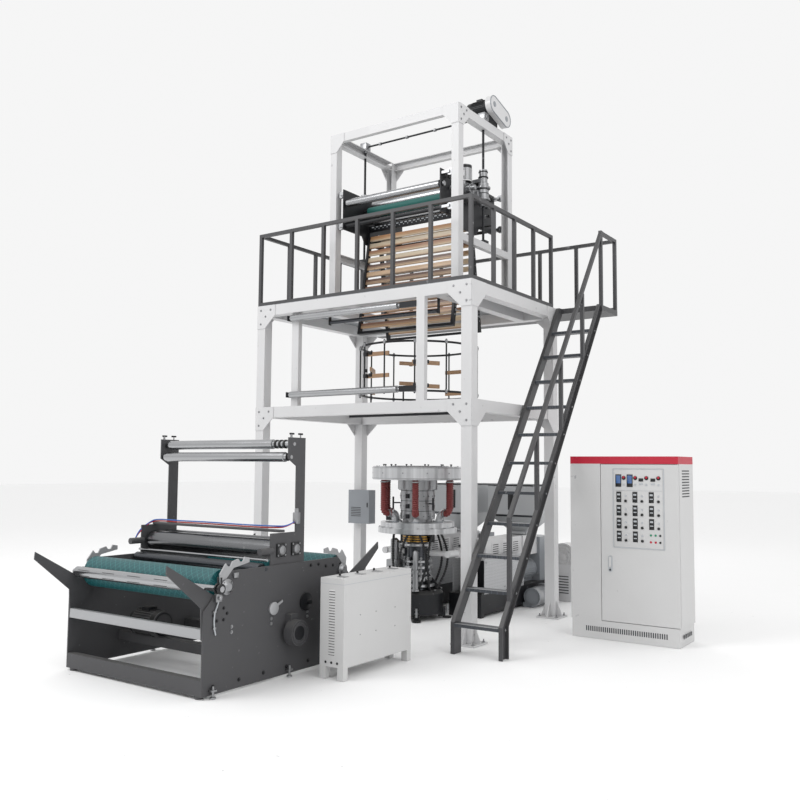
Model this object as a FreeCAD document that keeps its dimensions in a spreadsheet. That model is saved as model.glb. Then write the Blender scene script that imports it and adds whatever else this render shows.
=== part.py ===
import FreeCAD, Part
import os
import re
import Sketcher

# Blown film extrusion line: two extruders, a rotating die with its air ring, a bubble cage and
# haul-off in a steel tower with a platform and stair, a winder, and two electrical cabinets.
# Millimetres. The origin is on the die axis at floor level, +X runs along the rollers, +Y runs
# from the winder to the extruders, +Z is up.

# Driving sizes of the steel tower
TOWER = {
    "tower_width": 2920,
    "tower_depth": 2030,
    "tower_centre": -160,
    "post_size": 120,
    "ring_top": 2400,
    "deck_top": 3600,
    "beam_tall": 120,
    "foot_size": 270,
    "foot_thick": 16,
    "foot_rib_tall": 180,
    "foot_rib_thick": 10,
    "foot_hole_radius": 11,
    "foot_hole_pitch": 210,
    "knee_run": 160,
    "knee_drop": 150,
    "knee_thick": 8,
    "middle_post_wide": 100,
    "middle_post_deep": 60,
    "middle_post_right": 690,
    "middle_post_left": -1078,
    "deck_plate_thick": 5,
    "deck_joint": 3,
}

# Driving sizes of the upper frame that carries the haul-off
UPPER = {
    "upper_half_wide": 885,
    "upper_centre": 25,
    "upper_half_deep": 620,
    "upper_top": 5650,
    "channel_wide": 90,
    "channel_deep": 100,
    "channel_wall": 8,
    "rail_tall": 100,
    "rail_flange": 60,
    "side_rail_tall": 80,
    "side_rail_top": 4235,
    "upper_knee_run": 110,
    "upper_knee_drop": 120,
}

# Driving sizes of the screw lift
LIFT = {
    "screw_radius": 14,
    "screw_clear": 4,
    "bevel_size": 90,
    "lift_foot_half": 50,
    "bevel_tall": 90,
    "cross_shaft_radius": 11,
    "lift_gear_long": 300,
    "lift_motor_radius": 88,
    "lift_motor_long": 250,
    "lift_motor_y": 60,
    "guard_thick": 70,
    "guard_radius": 100,
    "guard_rear_y": 350,
    "guard_front_z": 5850,
    "guard_rear_z": 5775,
    "screw_seat_tall": 30,
}

# Driving sizes of the haul-off that the screws carry
NIP = {
    "nip_half_wide": 677,
    "nip_plate_thick": 12,
    "nip_half_deep": 610,
    "nip_bottom": 4490,
    "nip_top": 4970,
    "nip_tab_bottom": 4400,
    "nip_tab_half": 180,
    "nip_roll_z": 4880,
    "nip_gap": 1,
    "steel_radius": 75,
    "rubber_radius": 80,
    "nip_face_half": 600,
    "shaft_radius": 16,
    "shaft_clear": 0.3,
    "shaft_stub": 20,
    "guide_roll_y": -560,
    "guide_roll_z": 4810,
    "guide_roll_radius": 45,
    "guide_face_half": 640,
    "tie_radius": 20,
    "wheel_radius": 40,
    "wheel_wide": 30,
    "wheel_clear": 0.5,
    "wheel_inset": 50,
    "nut_radius": 48,
    "nut_tall": 150,
    "nut_seat_z": 4930,
    "nut_bracket_tall": 40,
    "nut_bracket_deep": 120,
    "nip_tab_slope": 60,
    "nip_tie_inset": 50,
    "drive_wide": 100,
    "drive_front": 180,
    "drive_back": 60,
    "drive_low": 170,
    "drive_high": 30,
    "drive_motor_y": 120,
    "drive_motor_radius": 70,
    "drive_motor_tall": 190,
}

# Driving sizes of the two slatted collapsing boards
BOARDS = {
    "board_top_z": 4560,
    "board_top_y": 95,
    "board_bottom_z": 3280,
    "board_bottom_y": 300,
    "board_rail_x": 645,
    "board_rail_wide": 30,
    "board_rail_deep": 55,
    "slat_count": 13,
    "slat_tall": 60,
    "slat_thick": 22,
    "slat_first": 60,
    "slat_pitch": 92,
    "board_pin_radius": 10,
}

# Driving sizes of the film guide rollers on the tower front
GUIDES = {
    "front_roll_inset": 10,
    "front_roll_radius": 37,
    "front_upper_z": 3415,
    "front_lower_z": 2530,
    "front_roll_left": -1090,
    "front_roll_right": 400,
    "dark_roll_inset": 275,
    "dark_roll_z": 3370,
    "dark_roll_radius": 22,
    "dark_roll_half": 725,
    "dark_roll_stub": 20,
    "roll_bracket_thick": 10,
    "roll_bracket_half": 20,
    "roll_bracket_tall": 60,
    "roll_bracket_grip": 40,
    "roll_stub": 60,
}

# Driving sizes of the bubble cage
CAGE = {
    "cage_radius": 668,
    "cage_ring_radius": 12,
    "cage_rod_radius": 9,
    "cage_low": 2550,
    "cage_high": 3100,
    "cage_rod_over": 30,
    "cage_rods": 12,
    "cage_sink": 3,
    "cage_stand_x": 220,
    "clamp_deep": 36,
    "clamp_front": 26,
    "clamp_back": 20,
    "arm_long": 330,
    "arm_tall": 45,
    "arm_thick": 22,
    "arm_lean": 28,
    "cage_bar_wide": 40,
}

# Driving sizes of the die, its air ring and its stand
DIE = {
    "air_ring_radius": 527,
    "air_ring_bore": 165,
    "air_ring_bottom": 1570,
    "air_ring_top": 1724,
    "air_ring_edge": 12,
    "die_flange_radius": 228,
    "die_flange_bottom": 1460,
    "die_radius": 195,
    "die_lip_radius": 140,
    "die_lip_top": 1700,
    "turn_flange_radius": 453,
    "turn_step_radius": 425,
    "turn_bottom": 970,
    "turn_step": 1030,
    "turn_top": 1090,
    "hose_count": 6,
    "hose_radius": 32,
    "hose_bend": 60,
    "elbow_ring": 290,
    "elbow_radius": 36,
    "elbow_rise": 20,
    "elbow_bend": 80,
    "core_radius": 120,
    "slip_ring_radius": 165,
    "slip_ring_bottom": 860,
    "slip_ring_top": 940,
    "core_bottom": 330,
    "core_foot": 60,
    "core_foot_tall": 200,
    "melt_block_half": 150,
    "melt_block_deep": 90,
    "melt_block_tall": 100,
    "stand_radius": 300,
    "stand_bottom": 60,
    "stand_edge": 40,
    "stand_foot_ring": 345,
    "stand_foot_radius": 50,
    "stand_foot_thick": 16,
    "stand_foot_tall": 110,
    "stand_hole_radius": 8,
    "stand_foot_turn": 57.5,
    "stand_feet": 4,
}

# Driving sizes of the two extruders and the cooling blower
EXTRUDER = {
    "extruder_pitch": 860,
    "bed_wide": 428,
    "bed_front": 350,
    "bed_back": 2350,
    "bed_pad": 60,
    "pedestal_deep": 150,
    "bed_tall": 230,
    "bed_bottom": 30,
    "barrel_z": 740,
    "cover_wide": 250,
    "cover_tall": 240,
    "cover_front": 620,
    "cover_back": 1560,
    "barrel_radius": 60,
    "barrel_tip": 180,
    "adapter_radius": 38,
    "adapter_front": -45,
    "melt_pipe_radius": 30,
    "feed_wide": 280,
    "feed_low": 130,
    "guard_front": 430,
    "guard_back": 1430,
    "guard_tall": 400,
    "guard_sheet": 6,
    "throat_size": 230,
    "hopper_size": 650,
    "hopper_wall": 6,
    "hopper_front": 1500,
    "hopper_top": 1500,
    "hopper_straight": 1120,
    "hopper_outlet": 900,
    "gearcase_front": 1960,
    "gearcase_back": 2320,
    "gearcase_wide": 360,
    "gearcase_tall": 560,
    "motor_radius": 130,
    "motor_long": 480,
    "motor_foot": 20,
    "side_motor_gap": 20,
    "side_motor_radius": 110,
    "side_motor_front": 1390,
    "side_motor_long": 560,
    "blower_x": 850,
    "blower_y": 2250,
    "blower_z": 560,
    "blower_radius": 180,
    "blower_thick": 200,
    "blower_base_wide": 260,
    "blower_base_tall": 300,
}

# Driving sizes of the stair, the landing and the railings
STAIR = {
    "stair_gap": 20,
    "stair_wide": 540,
    "stringer_thick": 10,
    "stringer_deep": 125,
    "stringer_flange": 40,
    "stair_bend_z": 290,
    "stair_head_inset": 5,
    "stair_run": 2390,
    "tread_count": 11,
    "tread_first_z": 280,
    "tread_rise": 300,
    "tread_deep": 120,
    "tread_thick": 30,
    "landing_thick": 60,
    "rail_size": 38,
    "rail_height": 870,
    "hand_start": 93,
    "hand_rise": 973,
    "hand_deep": 65,
    "walkway_deep": 495,
}

# Driving sizes of the winder
WINDER = {
    "winder_left": -960,
    "winder_right": 680,
    "winder_centre_y": -2960,
    "winder_half_deep": 930,
    "winder_half_top": 650,
    "winder_shoulder_z": 640,
    "winder_top_z": 915,
    "winder_plate": 12,
    "floor_beam_tall": 120,
    "floor_beam_deep": 60,
    "cross_beam_tall": 72,
    "cross_beam_deep": 40,
    "cross_beam_z": 436,
    "drum_offset": 705,
    "drum_z": 800,
    "drum_radius": 128,
    "drum_end_gap": 40,
    "drum_shaft": 25,
    "reel_offset": 892,
    "reel_radius": 45,
    "reel_shaft": 22,
    "arm_plate": 12,
    "bearing_radius": 45,
    "bearing_thick": 16,
    "cylinder_radius": 28,
    "cylinder_long": 120,
    "cylinder_grip": 20,
    "arm_tip_z": 1005,
    "arm_reach": 345,
    "lever_foot": 170,
    "lever_heel": 230,
    "lever_reach": 470,
    "head_front_y": -3170,
    "head_back_y": -2760,
    "head_bottom_z": 880,
    "head_top_z": 1170,
    "mast_wide": 110,
    "mast_top_z": 1960,
    "mast_block_deep": 210,
    "mast_block_tall": 180,
    "winder_nip_front_y": -3049,
    "winder_nip_back_y": -2871,
    "winder_nip_z": 1030,
    "winder_nip_radius": 86,
    "top_roll_y": -2900,
    "top_roll_z": 1905,
    "top_roll_radius": 30,
    "under_roll_y": -2935,
    "under_roll_z": 1795,
    "under_roll_radius": 34,
    "spread_roll_y": -3230,
    "spread_roll_z": 890,
    "spread_roll_radius": 45,
    "winder_motor_radius": 110,
    "winder_motor_long": 320,
    "motor_shelf_z": 250,
    "fan_radius": 105,
    "fan_thick": 80,
    "fan_y": -2950,
    "fan_z": 360,
    "level_foot_radius": 30,
    "level_foot_tall": 20,
}

# Driving sizes of the two cabinets and the junction box
CABINETS = {
    "cabinet_left": 1870,
    "cabinet_wide": 1120,
    "cabinet_front": 60,
    "cabinet_deep": 490,
    "cabinet_top": 1840,
    "cabinet_band": 75,
    "plinth_top": 183,
    "plinth_inset": 10,
    "fixed_panel_wide": 332,
    "door_thick": 22,
    "door_gap": 3,
    "hinge_radius": 8,
    "supply_left": 925,
    "supply_wide": 245,
    "supply_front": -2840,
    "supply_deep": 970,
    "supply_bottom": 100,
    "supply_top": 810,
    "supply_leg": 60,
    "box_wide": 340,
    "box_deep": 140,
    "box_tall": 440,
    "box_bottom": 965,
    "box_inset": 15,
}

SIZES = {}
for group in (TOWER, UPPER, LIFT, NIP, BOARDS, GUIDES, CAGE, DIE, EXTRUDER, STAIR, WINDER, CABINETS):
    SIZES.update(group)

# Places that follow from the sizes
LEFT = "(tower_centre - tower_width / 2)"
RIGHT = "(tower_centre + tower_width / 2)"
FRONT = "(-tower_depth / 2)"
BACK = "(tower_depth / 2)"
INNER_LEFT = f"({LEFT} + post_size)"
INNER_RIGHT = f"({RIGHT} - post_size)"
UPPER_LEFT = "(upper_centre - upper_half_wide)"
UPPER_RIGHT = "(upper_centre + upper_half_wide)"
SCREW_LEFT = f"({UPPER_LEFT} + channel_wide / 2)"
SCREW_RIGHT = f"({UPPER_RIGHT} - channel_wide / 2)"
FRONT_ROLL_Y = f"({FRONT} + front_roll_inset)"
DARK_ROLL_Y = f"({FRONT} + dark_roll_inset)"
STEEL_Y = "(-steel_radius - nip_gap / 2)"
RUBBER_Y = "(rubber_radius + nip_gap / 2)"
STAIR_LEFT = f"({RIGHT} + stair_gap)"
STAIR_RIGHT = f"({STAIR_LEFT} + stair_wide)"
STAIR_HEAD_Y = f"({BACK} + stair_head_inset)"
STAIR_FOOT_Y = f"({STAIR_HEAD_Y} - stair_run)"
WALKWAY_BACK = f"({BACK} + walkway_deep)"
WINDER_FRONT = "(winder_centre_y - winder_half_deep)"
WINDER_BACK = "(winder_centre_y + winder_half_deep)"
DRUM_FRONT_Y = "(winder_centre_y - drum_offset)"
DRUM_BACK_Y = "(winder_centre_y + drum_offset)"
REEL_Y = "(winder_centre_y - reel_offset)"
CABINET_BACK = "(cabinet_front + cabinet_deep)"

doc = FreeCAD.newDocument("blown_film_line")
sheet = doc.addObject("Spreadsheet::Sheet", "Sizes")
for row, (alias, value) in enumerate(SIZES.items(), start=1):
    sheet.set(f"A{row}", alias)
    sheet.set(f"B{row}", str(value))
    sheet.setAlias(f"B{row}", alias)
doc.recompute()

WORD = re.compile(r"[a-z_][a-z_0-9]*")
EXPORTS = []


def sized(text):
    """Turn a formula of size names into one that reads them from the sheet."""
    return WORD.sub(lambda hit: "Sizes." + hit.group(0) if hit.group(0) in SIZES else hit.group(0), str(text))


def bind(item, **formulas):
    """Tie properties of an object to the sheet."""
    for name, formula in formulas.items():
        item.setExpression(name.replace("__", "."), sized(formula))


def place(item, x, y, z):
    """Tie an object's place to the sheet."""
    bind(item, Placement__Base__x=x, Placement__Base__y=y, Placement__Base__z=z)


def box(name, x, y, z, long_x, long_y, long_z):
    """Make a block from its low corner and its three sizes."""
    item = doc.addObject("Part::Box", name)
    bind(item, Length=long_x, Width=long_y, Height=long_z)
    place(item, x, y, z)
    return item


AXES = {
    "X": FreeCAD.Rotation(FreeCAD.Vector(0, 1, 0), 90),
    "Y": FreeCAD.Rotation(FreeCAD.Vector(1, 0, 0), -90),
    "Z": FreeCAD.Rotation(),
}


def rod(name, axis, x, y, z, radius, length):
    """Make a round bar that runs from its start point along +X, +Y or +Z."""
    item = doc.addObject("Part::Cylinder", name)
    item.Placement = FreeCAD.Placement(FreeCAD.Vector(), AXES[axis])
    bind(item, Radius=radius, Height=length)
    place(item, x, y, z)
    return item


def draw(sketch, points):
    """Draw a closed outline through points whose coordinates follow the sheet."""
    count = len(points)
    for index in range(count):
        start = FreeCAD.Vector(10 * index, 3 * index * index, 0)
        following = (index + 1) % count
        end = FreeCAD.Vector(10 * following, 3 * following * following, 0)
        sketch.addGeometry(Part.LineSegment(start, end), False)
    for index in range(count):
        sketch.addConstraint(Sketcher.Constraint("Coincident", index, 2, (index + 1) % count, 1))
    for index, (across, along) in enumerate(points):
        for kind, formula in (("DistanceX", across), ("DistanceY", along)):
            number = sketch.addConstraint(Sketcher.Constraint(kind, -1, 1, index, 1, 1.0))
            sketch.setExpression(f"Constraints[{number}]", sized(formula))


def sketch_on(body, role, points):
    """Put an outline on one of a body's own origin planes."""
    sketch = body.newObject("Sketcher::SketchObject", body.Name + "_outline")
    plane = [item for item in body.Origin.OriginFeatures if item.Role == role][0]
    sketch.AttachmentSupport = (plane, "")
    sketch.MapMode = "FlatFace"
    draw(sketch, points)
    return sketch


def prism(name, plane, points, length, x="0", y="0", z="0"):
    """Pad an outline on XY, XZ or YZ along the third axis, from x, y, z."""
    body = doc.addObject("PartDesign::Body", name)
    sketch = sketch_on(body, plane + "_Plane", points)
    pad = body.newObject("PartDesign::Pad", name + "_pad")
    pad.Profile = sketch
    pad.Reversed = plane == "XZ"
    bind(pad, Length=length)
    sketch.Visibility = False
    place(body, x, y, z)
    return body


def turned(name, profile, x="0", y="0", z="0", axis="Z"):
    """Revolve a half profile of radius and height points about an axis through x, y, z."""
    body = doc.addObject("PartDesign::Body", name)
    sketch = sketch_on(body, "XZ_Plane", profile)
    spin = body.newObject("PartDesign::Revolution", name + "_turn")
    spin.Profile = sketch
    spin.ReferenceAxis = (sketch, ["V_Axis"])
    spin.Angle = 360
    body.Placement = FreeCAD.Placement(FreeCAD.Vector(), AXES[axis])
    place(body, x, y, z)
    return body


def fuse(name, *items):
    """Join pieces that are welded or cast together."""
    item = doc.addObject("Part::MultiFuse", name)
    item.Shapes = list(items)
    item.Refine = True
    return item


def cut(name, base, tool):
    """Take one shape away from another."""
    item = doc.addObject("Part::Cut", name)
    item.Base = base
    item.Tool = tool
    return item


def together(name, *items):
    """Group loose pieces of one kind without joining them."""
    item = doc.addObject("Part::Compound", name)
    item.Links = list(items)
    return item


def keep(label, item):
    """Name a finished sub-part and list it for export."""
    item.Label = label
    EXPORTS.append(item)
    return item


def mirror_x(points):
    """Mirror an outline left to right."""
    return [(f"-({across})", along) for across, along in points]


def ring_of(name, maker, count):
    """Make one piece at each of a number of equal steps round the die axis."""
    return [maker(f"{name}{index + 1}", 360.0 * index / count) for index in range(count)]


def around(item, angle):
    """Turn a piece about the die axis."""
    turn = FreeCAD.Rotation(FreeCAD.Vector(0, 0, 1), angle)
    holder = doc.addObject("Part::Compound", item.Name + "_set")
    holder.Links = [item]
    holder.Placement = FreeCAD.Placement(FreeCAD.Vector(), turn)
    return holder


def channel_points(wide, deep, wall, opening):
    """Give the outline of a channel whose web is opposite its open side."""
    upright = [("0", "0"), (wide, "0"), (wide, deep), (f"{wide} - {wall}", deep),
               (f"{wide} - {wall}", wall), (wall, wall), (wall, deep), ("0", deep)]
    if opening == "up":
        return upright
    if opening == "down":
        return [(across, f"{deep} - ({along})") for across, along in upright]
    if opening == "right":
        return [(along, across) for across, along in upright]
    return [(f"{deep} - ({along})", across) for across, along in upright]


# Tower posts with foot plates and ribs
def tower_post(name, x, y):
    """Make one post with its bolted foot."""
    middle_x = f"({x} + post_size / 2)"
    middle_y = f"({y} + post_size / 2)"
    shaft = box(name + "_shaft", x, y, "foot_thick", "post_size", "post_size", "deck_top - foot_thick")
    foot = box(name + "_foot", f"{middle_x} - foot_size / 2", f"{middle_y} - foot_size / 2", "0",
               "foot_size", "foot_size", "foot_thick")
    rib = [("-foot_size / 2", "0"), ("foot_size / 2", "0"), ("post_size / 2", "foot_rib_tall"),
           ("-post_size / 2", "foot_rib_tall")]
    rib_x = prism(name + "_rib_x", "XZ", rib, "foot_rib_thick", middle_x,
                  f"{middle_y} - foot_rib_thick / 2", "foot_thick")
    rib_y = prism(name + "_rib_y", "YZ", rib, "foot_rib_thick", f"{middle_x} - foot_rib_thick / 2",
                  middle_y, "foot_thick")
    whole = fuse(name + "_whole", shaft, foot, rib_x, rib_y)
    holes = []
    for side in (-1, 1):
        for end in (-1, 1):
            hole = rod(f"{name}_hole_{side + 1}{end + 1}", "Z", f"{middle_x} + {side} * foot_hole_pitch / 2",
                       f"{middle_y} + {end} * foot_hole_pitch / 2", "-1", "foot_hole_radius", "foot_thick + 2")
            holes.append(hole)
    return cut(name, whole, together(name + "_holes", *holes))


corners = {
    "front_left": (LEFT, FRONT),
    "front_right": (INNER_RIGHT, FRONT),
    "back_left": (LEFT, f"({BACK} - post_size)"),
    "back_right": (INNER_RIGHT, f"({BACK} - post_size)"),
}
posts = [tower_post("post_" + corner, x, y) for corner, (x, y) in corners.items()]
keep("tower_posts", together("tower_posts", *posts))


# Beams between the posts at the middle ring and under the deck
def beam_ring(name, top):
    """Make the four beams that join the posts at one level."""
    low = f"{top} - beam_tall"
    span_x = "tower_width - 2 * post_size"
    span_y = "tower_depth - 2 * post_size"
    return [
        box(name + "_front", INNER_LEFT, FRONT, low, span_x, "post_size", "beam_tall"),
        box(name + "_back", INNER_LEFT, f"{BACK} - post_size", low, span_x, "post_size", "beam_tall"),
        box(name + "_left", LEFT, f"{FRONT} + post_size", low, "post_size", span_y, "beam_tall"),
        box(name + "_right", INNER_RIGHT, f"{FRONT} + post_size", low, "post_size", span_y, "beam_tall"),
    ]


keep("middle_beams", together("middle_beams", *beam_ring("middle_beam", "ring_top")))

joist_left = box("joist_left", f"{UPPER_LEFT} - (post_size - channel_wide) / 2", f"{FRONT} + post_size",
                 "deck_top - beam_tall", "post_size", "tower_depth - 2 * post_size", "beam_tall")
joist_right = box("joist_right", f"{UPPER_RIGHT} - (post_size + channel_wide) / 2", f"{FRONT} + post_size",
                  "deck_top - beam_tall", "post_size", "tower_depth - 2 * post_size", "beam_tall")
keep("deck_beams", fuse("deck_beams", *beam_ring("deck_beam", "deck_top"), joist_left, joist_right))

# Deck plates round the open middle
side_left_wide = f"{UPPER_LEFT} - {LEFT} - deck_joint"
side_right_wide = f"{RIGHT} - {UPPER_RIGHT} - deck_joint"
strip_deep = "tower_depth / 2 - upper_half_deep - deck_joint"
strip_wide = "2 * upper_half_wide"
deck_plates = [
    box("deck_plate_left", LEFT, FRONT, "deck_top", side_left_wide, "tower_depth", "deck_plate_thick"),
    box("deck_plate_right", f"{UPPER_RIGHT} + deck_joint", FRONT, "deck_top", side_right_wide,
        "tower_depth", "deck_plate_thick"),
    box("deck_plate_front", UPPER_LEFT, FRONT, "deck_top", strip_wide, strip_deep, "deck_plate_thick"),
    box("deck_plate_back", UPPER_LEFT, "upper_half_deep + deck_joint", "deck_top", strip_wide,
        strip_deep, "deck_plate_thick"),
]
keep("deck_plates", together("deck_plates", *deck_plates))


# Knee plates over every joint of posts and beams
def knee(post, beam, run, drop):
    """Give a knee plate's outline from the outer top corner of a joint."""
    return [("0", "0"), (f"{post} + {run}", "0"), (f"{post} + {run}", f"-{beam}"),
            (post, f"-{beam} - {drop}"), ("0", f"-{beam} - {drop}")]


tower_knee = knee("post_size", "beam_tall", "knee_run", "knee_drop")
knees = []
for level in ("ring_top", "deck_top"):
    for end, y in (("front", f"{FRONT} - knee_thick"), ("back", BACK)):
        knees.append(prism(f"knee_{level}_{end}_left", "XZ", tower_knee, "knee_thick", LEFT, y, level))
        knees.append(prism(f"knee_{level}_{end}_right", "XZ", mirror_x(tower_knee), "knee_thick", RIGHT, y, level))
    for side, x in (("left", f"{LEFT} - knee_thick"), ("right", RIGHT)):
        knees.append(prism(f"knee_{level}_{side}_front", "YZ", tower_knee, "knee_thick", x, FRONT, level))
        knees.append(prism(f"knee_{level}_{side}_back", "YZ", mirror_x(tower_knee), "knee_thick", x, BACK, level))
upper_knee = knee("channel_wide", "rail_tall", "upper_knee_run", "upper_knee_drop")
for end, y in (("front", "-upper_half_deep - knee_thick"), ("back", "upper_half_deep")):
    knees.append(prism(f"knee_upper_{end}_left", "XZ", upper_knee, "knee_thick", UPPER_LEFT, y, "upper_top"))
    knees.append(prism(f"knee_upper_{end}_right", "XZ", mirror_x(upper_knee), "knee_thick", UPPER_RIGHT, y,
                       "upper_top"))
upper_side_knee = knee("channel_deep", "rail_tall", "upper_knee_run", "upper_knee_drop")
for side, x in (("left", f"{UPPER_LEFT} - knee_thick"), ("right", UPPER_RIGHT)):
    knees.append(prism(f"knee_upper_{side}_front", "YZ", upper_side_knee, "knee_thick", x,
                       "-upper_half_deep", "upper_top"))
    knees.append(prism(f"knee_upper_{side}_back", "YZ", mirror_x(upper_side_knee), "knee_thick", x,
                       "upper_half_deep", "upper_top"))
keep("knee_plates", together("knee_plates", *knees))

# Two posts on the middle beam that carry the front guide rollers
middle_posts = []
for side, x, y in (("right", "middle_post_right - middle_post_wide / 2", FRONT),
                   ("left", "middle_post_left - middle_post_wide / 2", f"{FRONT} + post_size - middle_post_deep")):
    middle_posts.append(box("middle_post_" + side, x, y, "ring_top", "middle_post_wide", "middle_post_deep",
                            "deck_top - beam_tall - ring_top"))
keep("middle_posts", together("middle_posts", *middle_posts))

# Upper frame of channels standing on the joists
upper_posts = []
for side, x in (("left", UPPER_LEFT), ("right", f"{UPPER_RIGHT} - channel_wide")):
    for end, y, opening in (("front", "-upper_half_deep", "up"), ("back", "upper_half_deep - channel_deep", "down")):
        outline = channel_points("channel_wide", "channel_deep", "channel_wall", opening)
        upper_posts.append(prism(f"upper_post_{side}_{end}", "XY", outline, "upper_top - deck_top", x, y, "deck_top"))

upper_span_x = "2 * (upper_half_wide - channel_wide)"
upper_span_y = "2 * (upper_half_deep - channel_deep)"
upper_rails = []
for end, y, opening in (("front", "-upper_half_deep", "right"), ("back", "upper_half_deep - rail_flange", "left")):
    outline = channel_points("rail_tall", "rail_flange", "channel_wall", opening)
    upper_rails.append(prism("upper_rail_" + end, "YZ", outline, upper_span_x, f"{UPPER_LEFT} + channel_wide", y,
                             "upper_top - rail_tall"))
for side, x, opening in (("left", UPPER_LEFT, "right"), ("right", f"{UPPER_RIGHT} - channel_wide", "left")):
    top_outline = channel_points("rail_tall", "channel_wide", "channel_wall", opening)
    screw_x = SCREW_LEFT if side == "left" else SCREW_RIGHT
    top_rail = prism(f"upper_rail_{side}_bar", "XZ", top_outline, upper_span_y, x,
                     "-upper_half_deep + channel_deep", "upper_top - rail_tall")
    passage = rod(f"upper_rail_{side}_hole", "Z", screw_x, "0", "upper_top - rail_tall - 1",
                  "screw_radius + screw_clear", "rail_tall + 2")
    upper_rails.append(cut("upper_rail_" + side, top_rail, passage))
    low_outline = channel_points("side_rail_tall", "rail_flange", "channel_wall", opening)
    low_x = x if side == "left" else f"{UPPER_RIGHT} - rail_flange"
    upper_rails.append(prism("side_rail_" + side, "XZ", low_outline, upper_span_y, low_x,
                             "-upper_half_deep + channel_deep", "side_rail_top - side_rail_tall"))
keep("upper_frame", fuse("upper_frame", *upper_posts, *upper_rails))

# Lead screws that carry the haul-off, with their bottom seats
screws = []
for side, x in (("left", SCREW_LEFT), ("right", SCREW_RIGHT)):
    thread = rod(f"screw_{side}_thread", "Z", x, "0", "side_rail_top", "screw_radius", "upper_top - side_rail_top")
    seat = box(f"screw_{side}_seat", f"{x} - channel_wide / 2", "-channel_wide / 2", "side_rail_top",
               "channel_wide", "channel_wide", "screw_seat_tall")
    screws.append(fuse("lift_screw_" + side, thread, seat))
keep("lift_screws", together("lift_screws", *screws))

# Bevel boxes, cross shaft and motor on the upper frame
bevel_left = box("bevel_left", f"{SCREW_LEFT} - bevel_size / 2", "-bevel_size / 2", "upper_top",
                 "bevel_size", "bevel_size", "bevel_tall")
bevel_right = box("bevel_right", f"{SCREW_RIGHT} - bevel_size / 2", "-bevel_size / 2", "upper_top",
                  "bevel_size", "lift_gear_long", "bevel_tall")
cross_shaft = rod("cross_shaft", "X", SCREW_LEFT, "0", "upper_top + bevel_tall / 2", "cross_shaft_radius",
                  f"{SCREW_RIGHT} - {SCREW_LEFT}")
lift_motor = rod("lift_motor", "X", f"{UPPER_RIGHT} - lift_motor_long", "lift_motor_y",
                 "upper_top + bevel_tall + lift_motor_radius", "lift_motor_radius", "lift_motor_long")
motor_foot = box("lift_motor_foot", f"{UPPER_RIGHT} - bevel_size", "lift_motor_y - lift_foot_half",
                 "upper_top + bevel_tall", "bevel_size", "2 * lift_foot_half", "lift_motor_radius")
keep("lift_drive", fuse("lift_drive", bevel_left, bevel_right, cross_shaft, lift_motor, motor_foot))
guard_front = rod("guard_front", "X", UPPER_RIGHT, "lift_motor_y", "guard_front_z", "guard_radius", "guard_thick")
guard_rear = rod("guard_rear", "X", UPPER_RIGHT, "guard_rear_y", "guard_rear_z", "guard_radius", "guard_thick")
guard_hull = prism("guard_hull", "YZ",
                   [("lift_motor_y", "guard_front_z - guard_radius"), ("guard_rear_y", "guard_rear_z - guard_radius"),
                    ("guard_rear_y", "guard_rear_z + guard_radius"), ("lift_motor_y", "guard_front_z + guard_radius")],
                   "guard_thick", UPPER_RIGHT)
keep("chain_guard", fuse("chain_guard", guard_front, guard_rear, guard_hull))


# A roller with its shaft, running along X
def roller(name, left, right, y, z, radius, shaft, stub):
    """Make a roller face between left and right with a shaft stub at each end."""
    face = rod(name + "_face", "X", left, y, z, radius, f"{right} - ({left})")
    axle = rod(name + "_axle", "X", f"{left} - ({stub})", y, z, shaft, f"{right} - ({left}) + 2 * ({stub})")
    return keep(name, fuse(name, face, axle))


# Haul-off side plates with ties, running between the upper posts
nip_outline = [("-nip_half_deep", "nip_bottom"), ("-nip_tab_half - nip_tab_slope", "nip_bottom"),
               ("-nip_tab_half", "nip_tab_bottom"), ("nip_tab_half", "nip_tab_bottom"),
               ("nip_tab_half + nip_tab_slope", "nip_bottom"), ("nip_half_deep", "nip_bottom"),
               ("nip_half_deep", "nip_top"), ("-nip_half_deep", "nip_top")]
nip_inside = "(nip_half_wide - nip_plate_thick)"
nip_bores = [("steel", STEEL_Y, "nip_roll_z"), ("rubber", RUBBER_Y, "nip_roll_z"),
             ("guide", "guide_roll_y", "guide_roll_z")]
plates = []
for side, x in (("left", "-nip_half_wide"), ("right", nip_inside)):
    plate = prism("nip_plate_" + side, "YZ", nip_outline, "nip_plate_thick", x)
    bores = [rod(f"nip_bore_{side}_{name}", "X", f"{x} - 1", y, z, "shaft_radius + shaft_clear", "nip_plate_thick + 2")
             for name, y, z in nip_bores]
    plates.append(cut("nip_plate_bored_" + side, plate, together("nip_bores_" + side, *bores)))
ties = [rod(f"nip_tie_{name}", "X", f"-{nip_inside}", y, z, "tie_radius", f"2 * {nip_inside}")
        for name, y, z in (("front", "-nip_half_deep + nip_tie_inset", "nip_bottom + nip_tie_inset"),
                           ("back", "nip_half_deep - nip_tie_inset", "nip_bottom + nip_tie_inset"),
                           ("top", "nip_half_deep - nip_tie_inset", "nip_top - nip_tie_inset"))]
keep("nip_frame", fuse("nip_frame", *plates, *ties))

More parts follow.
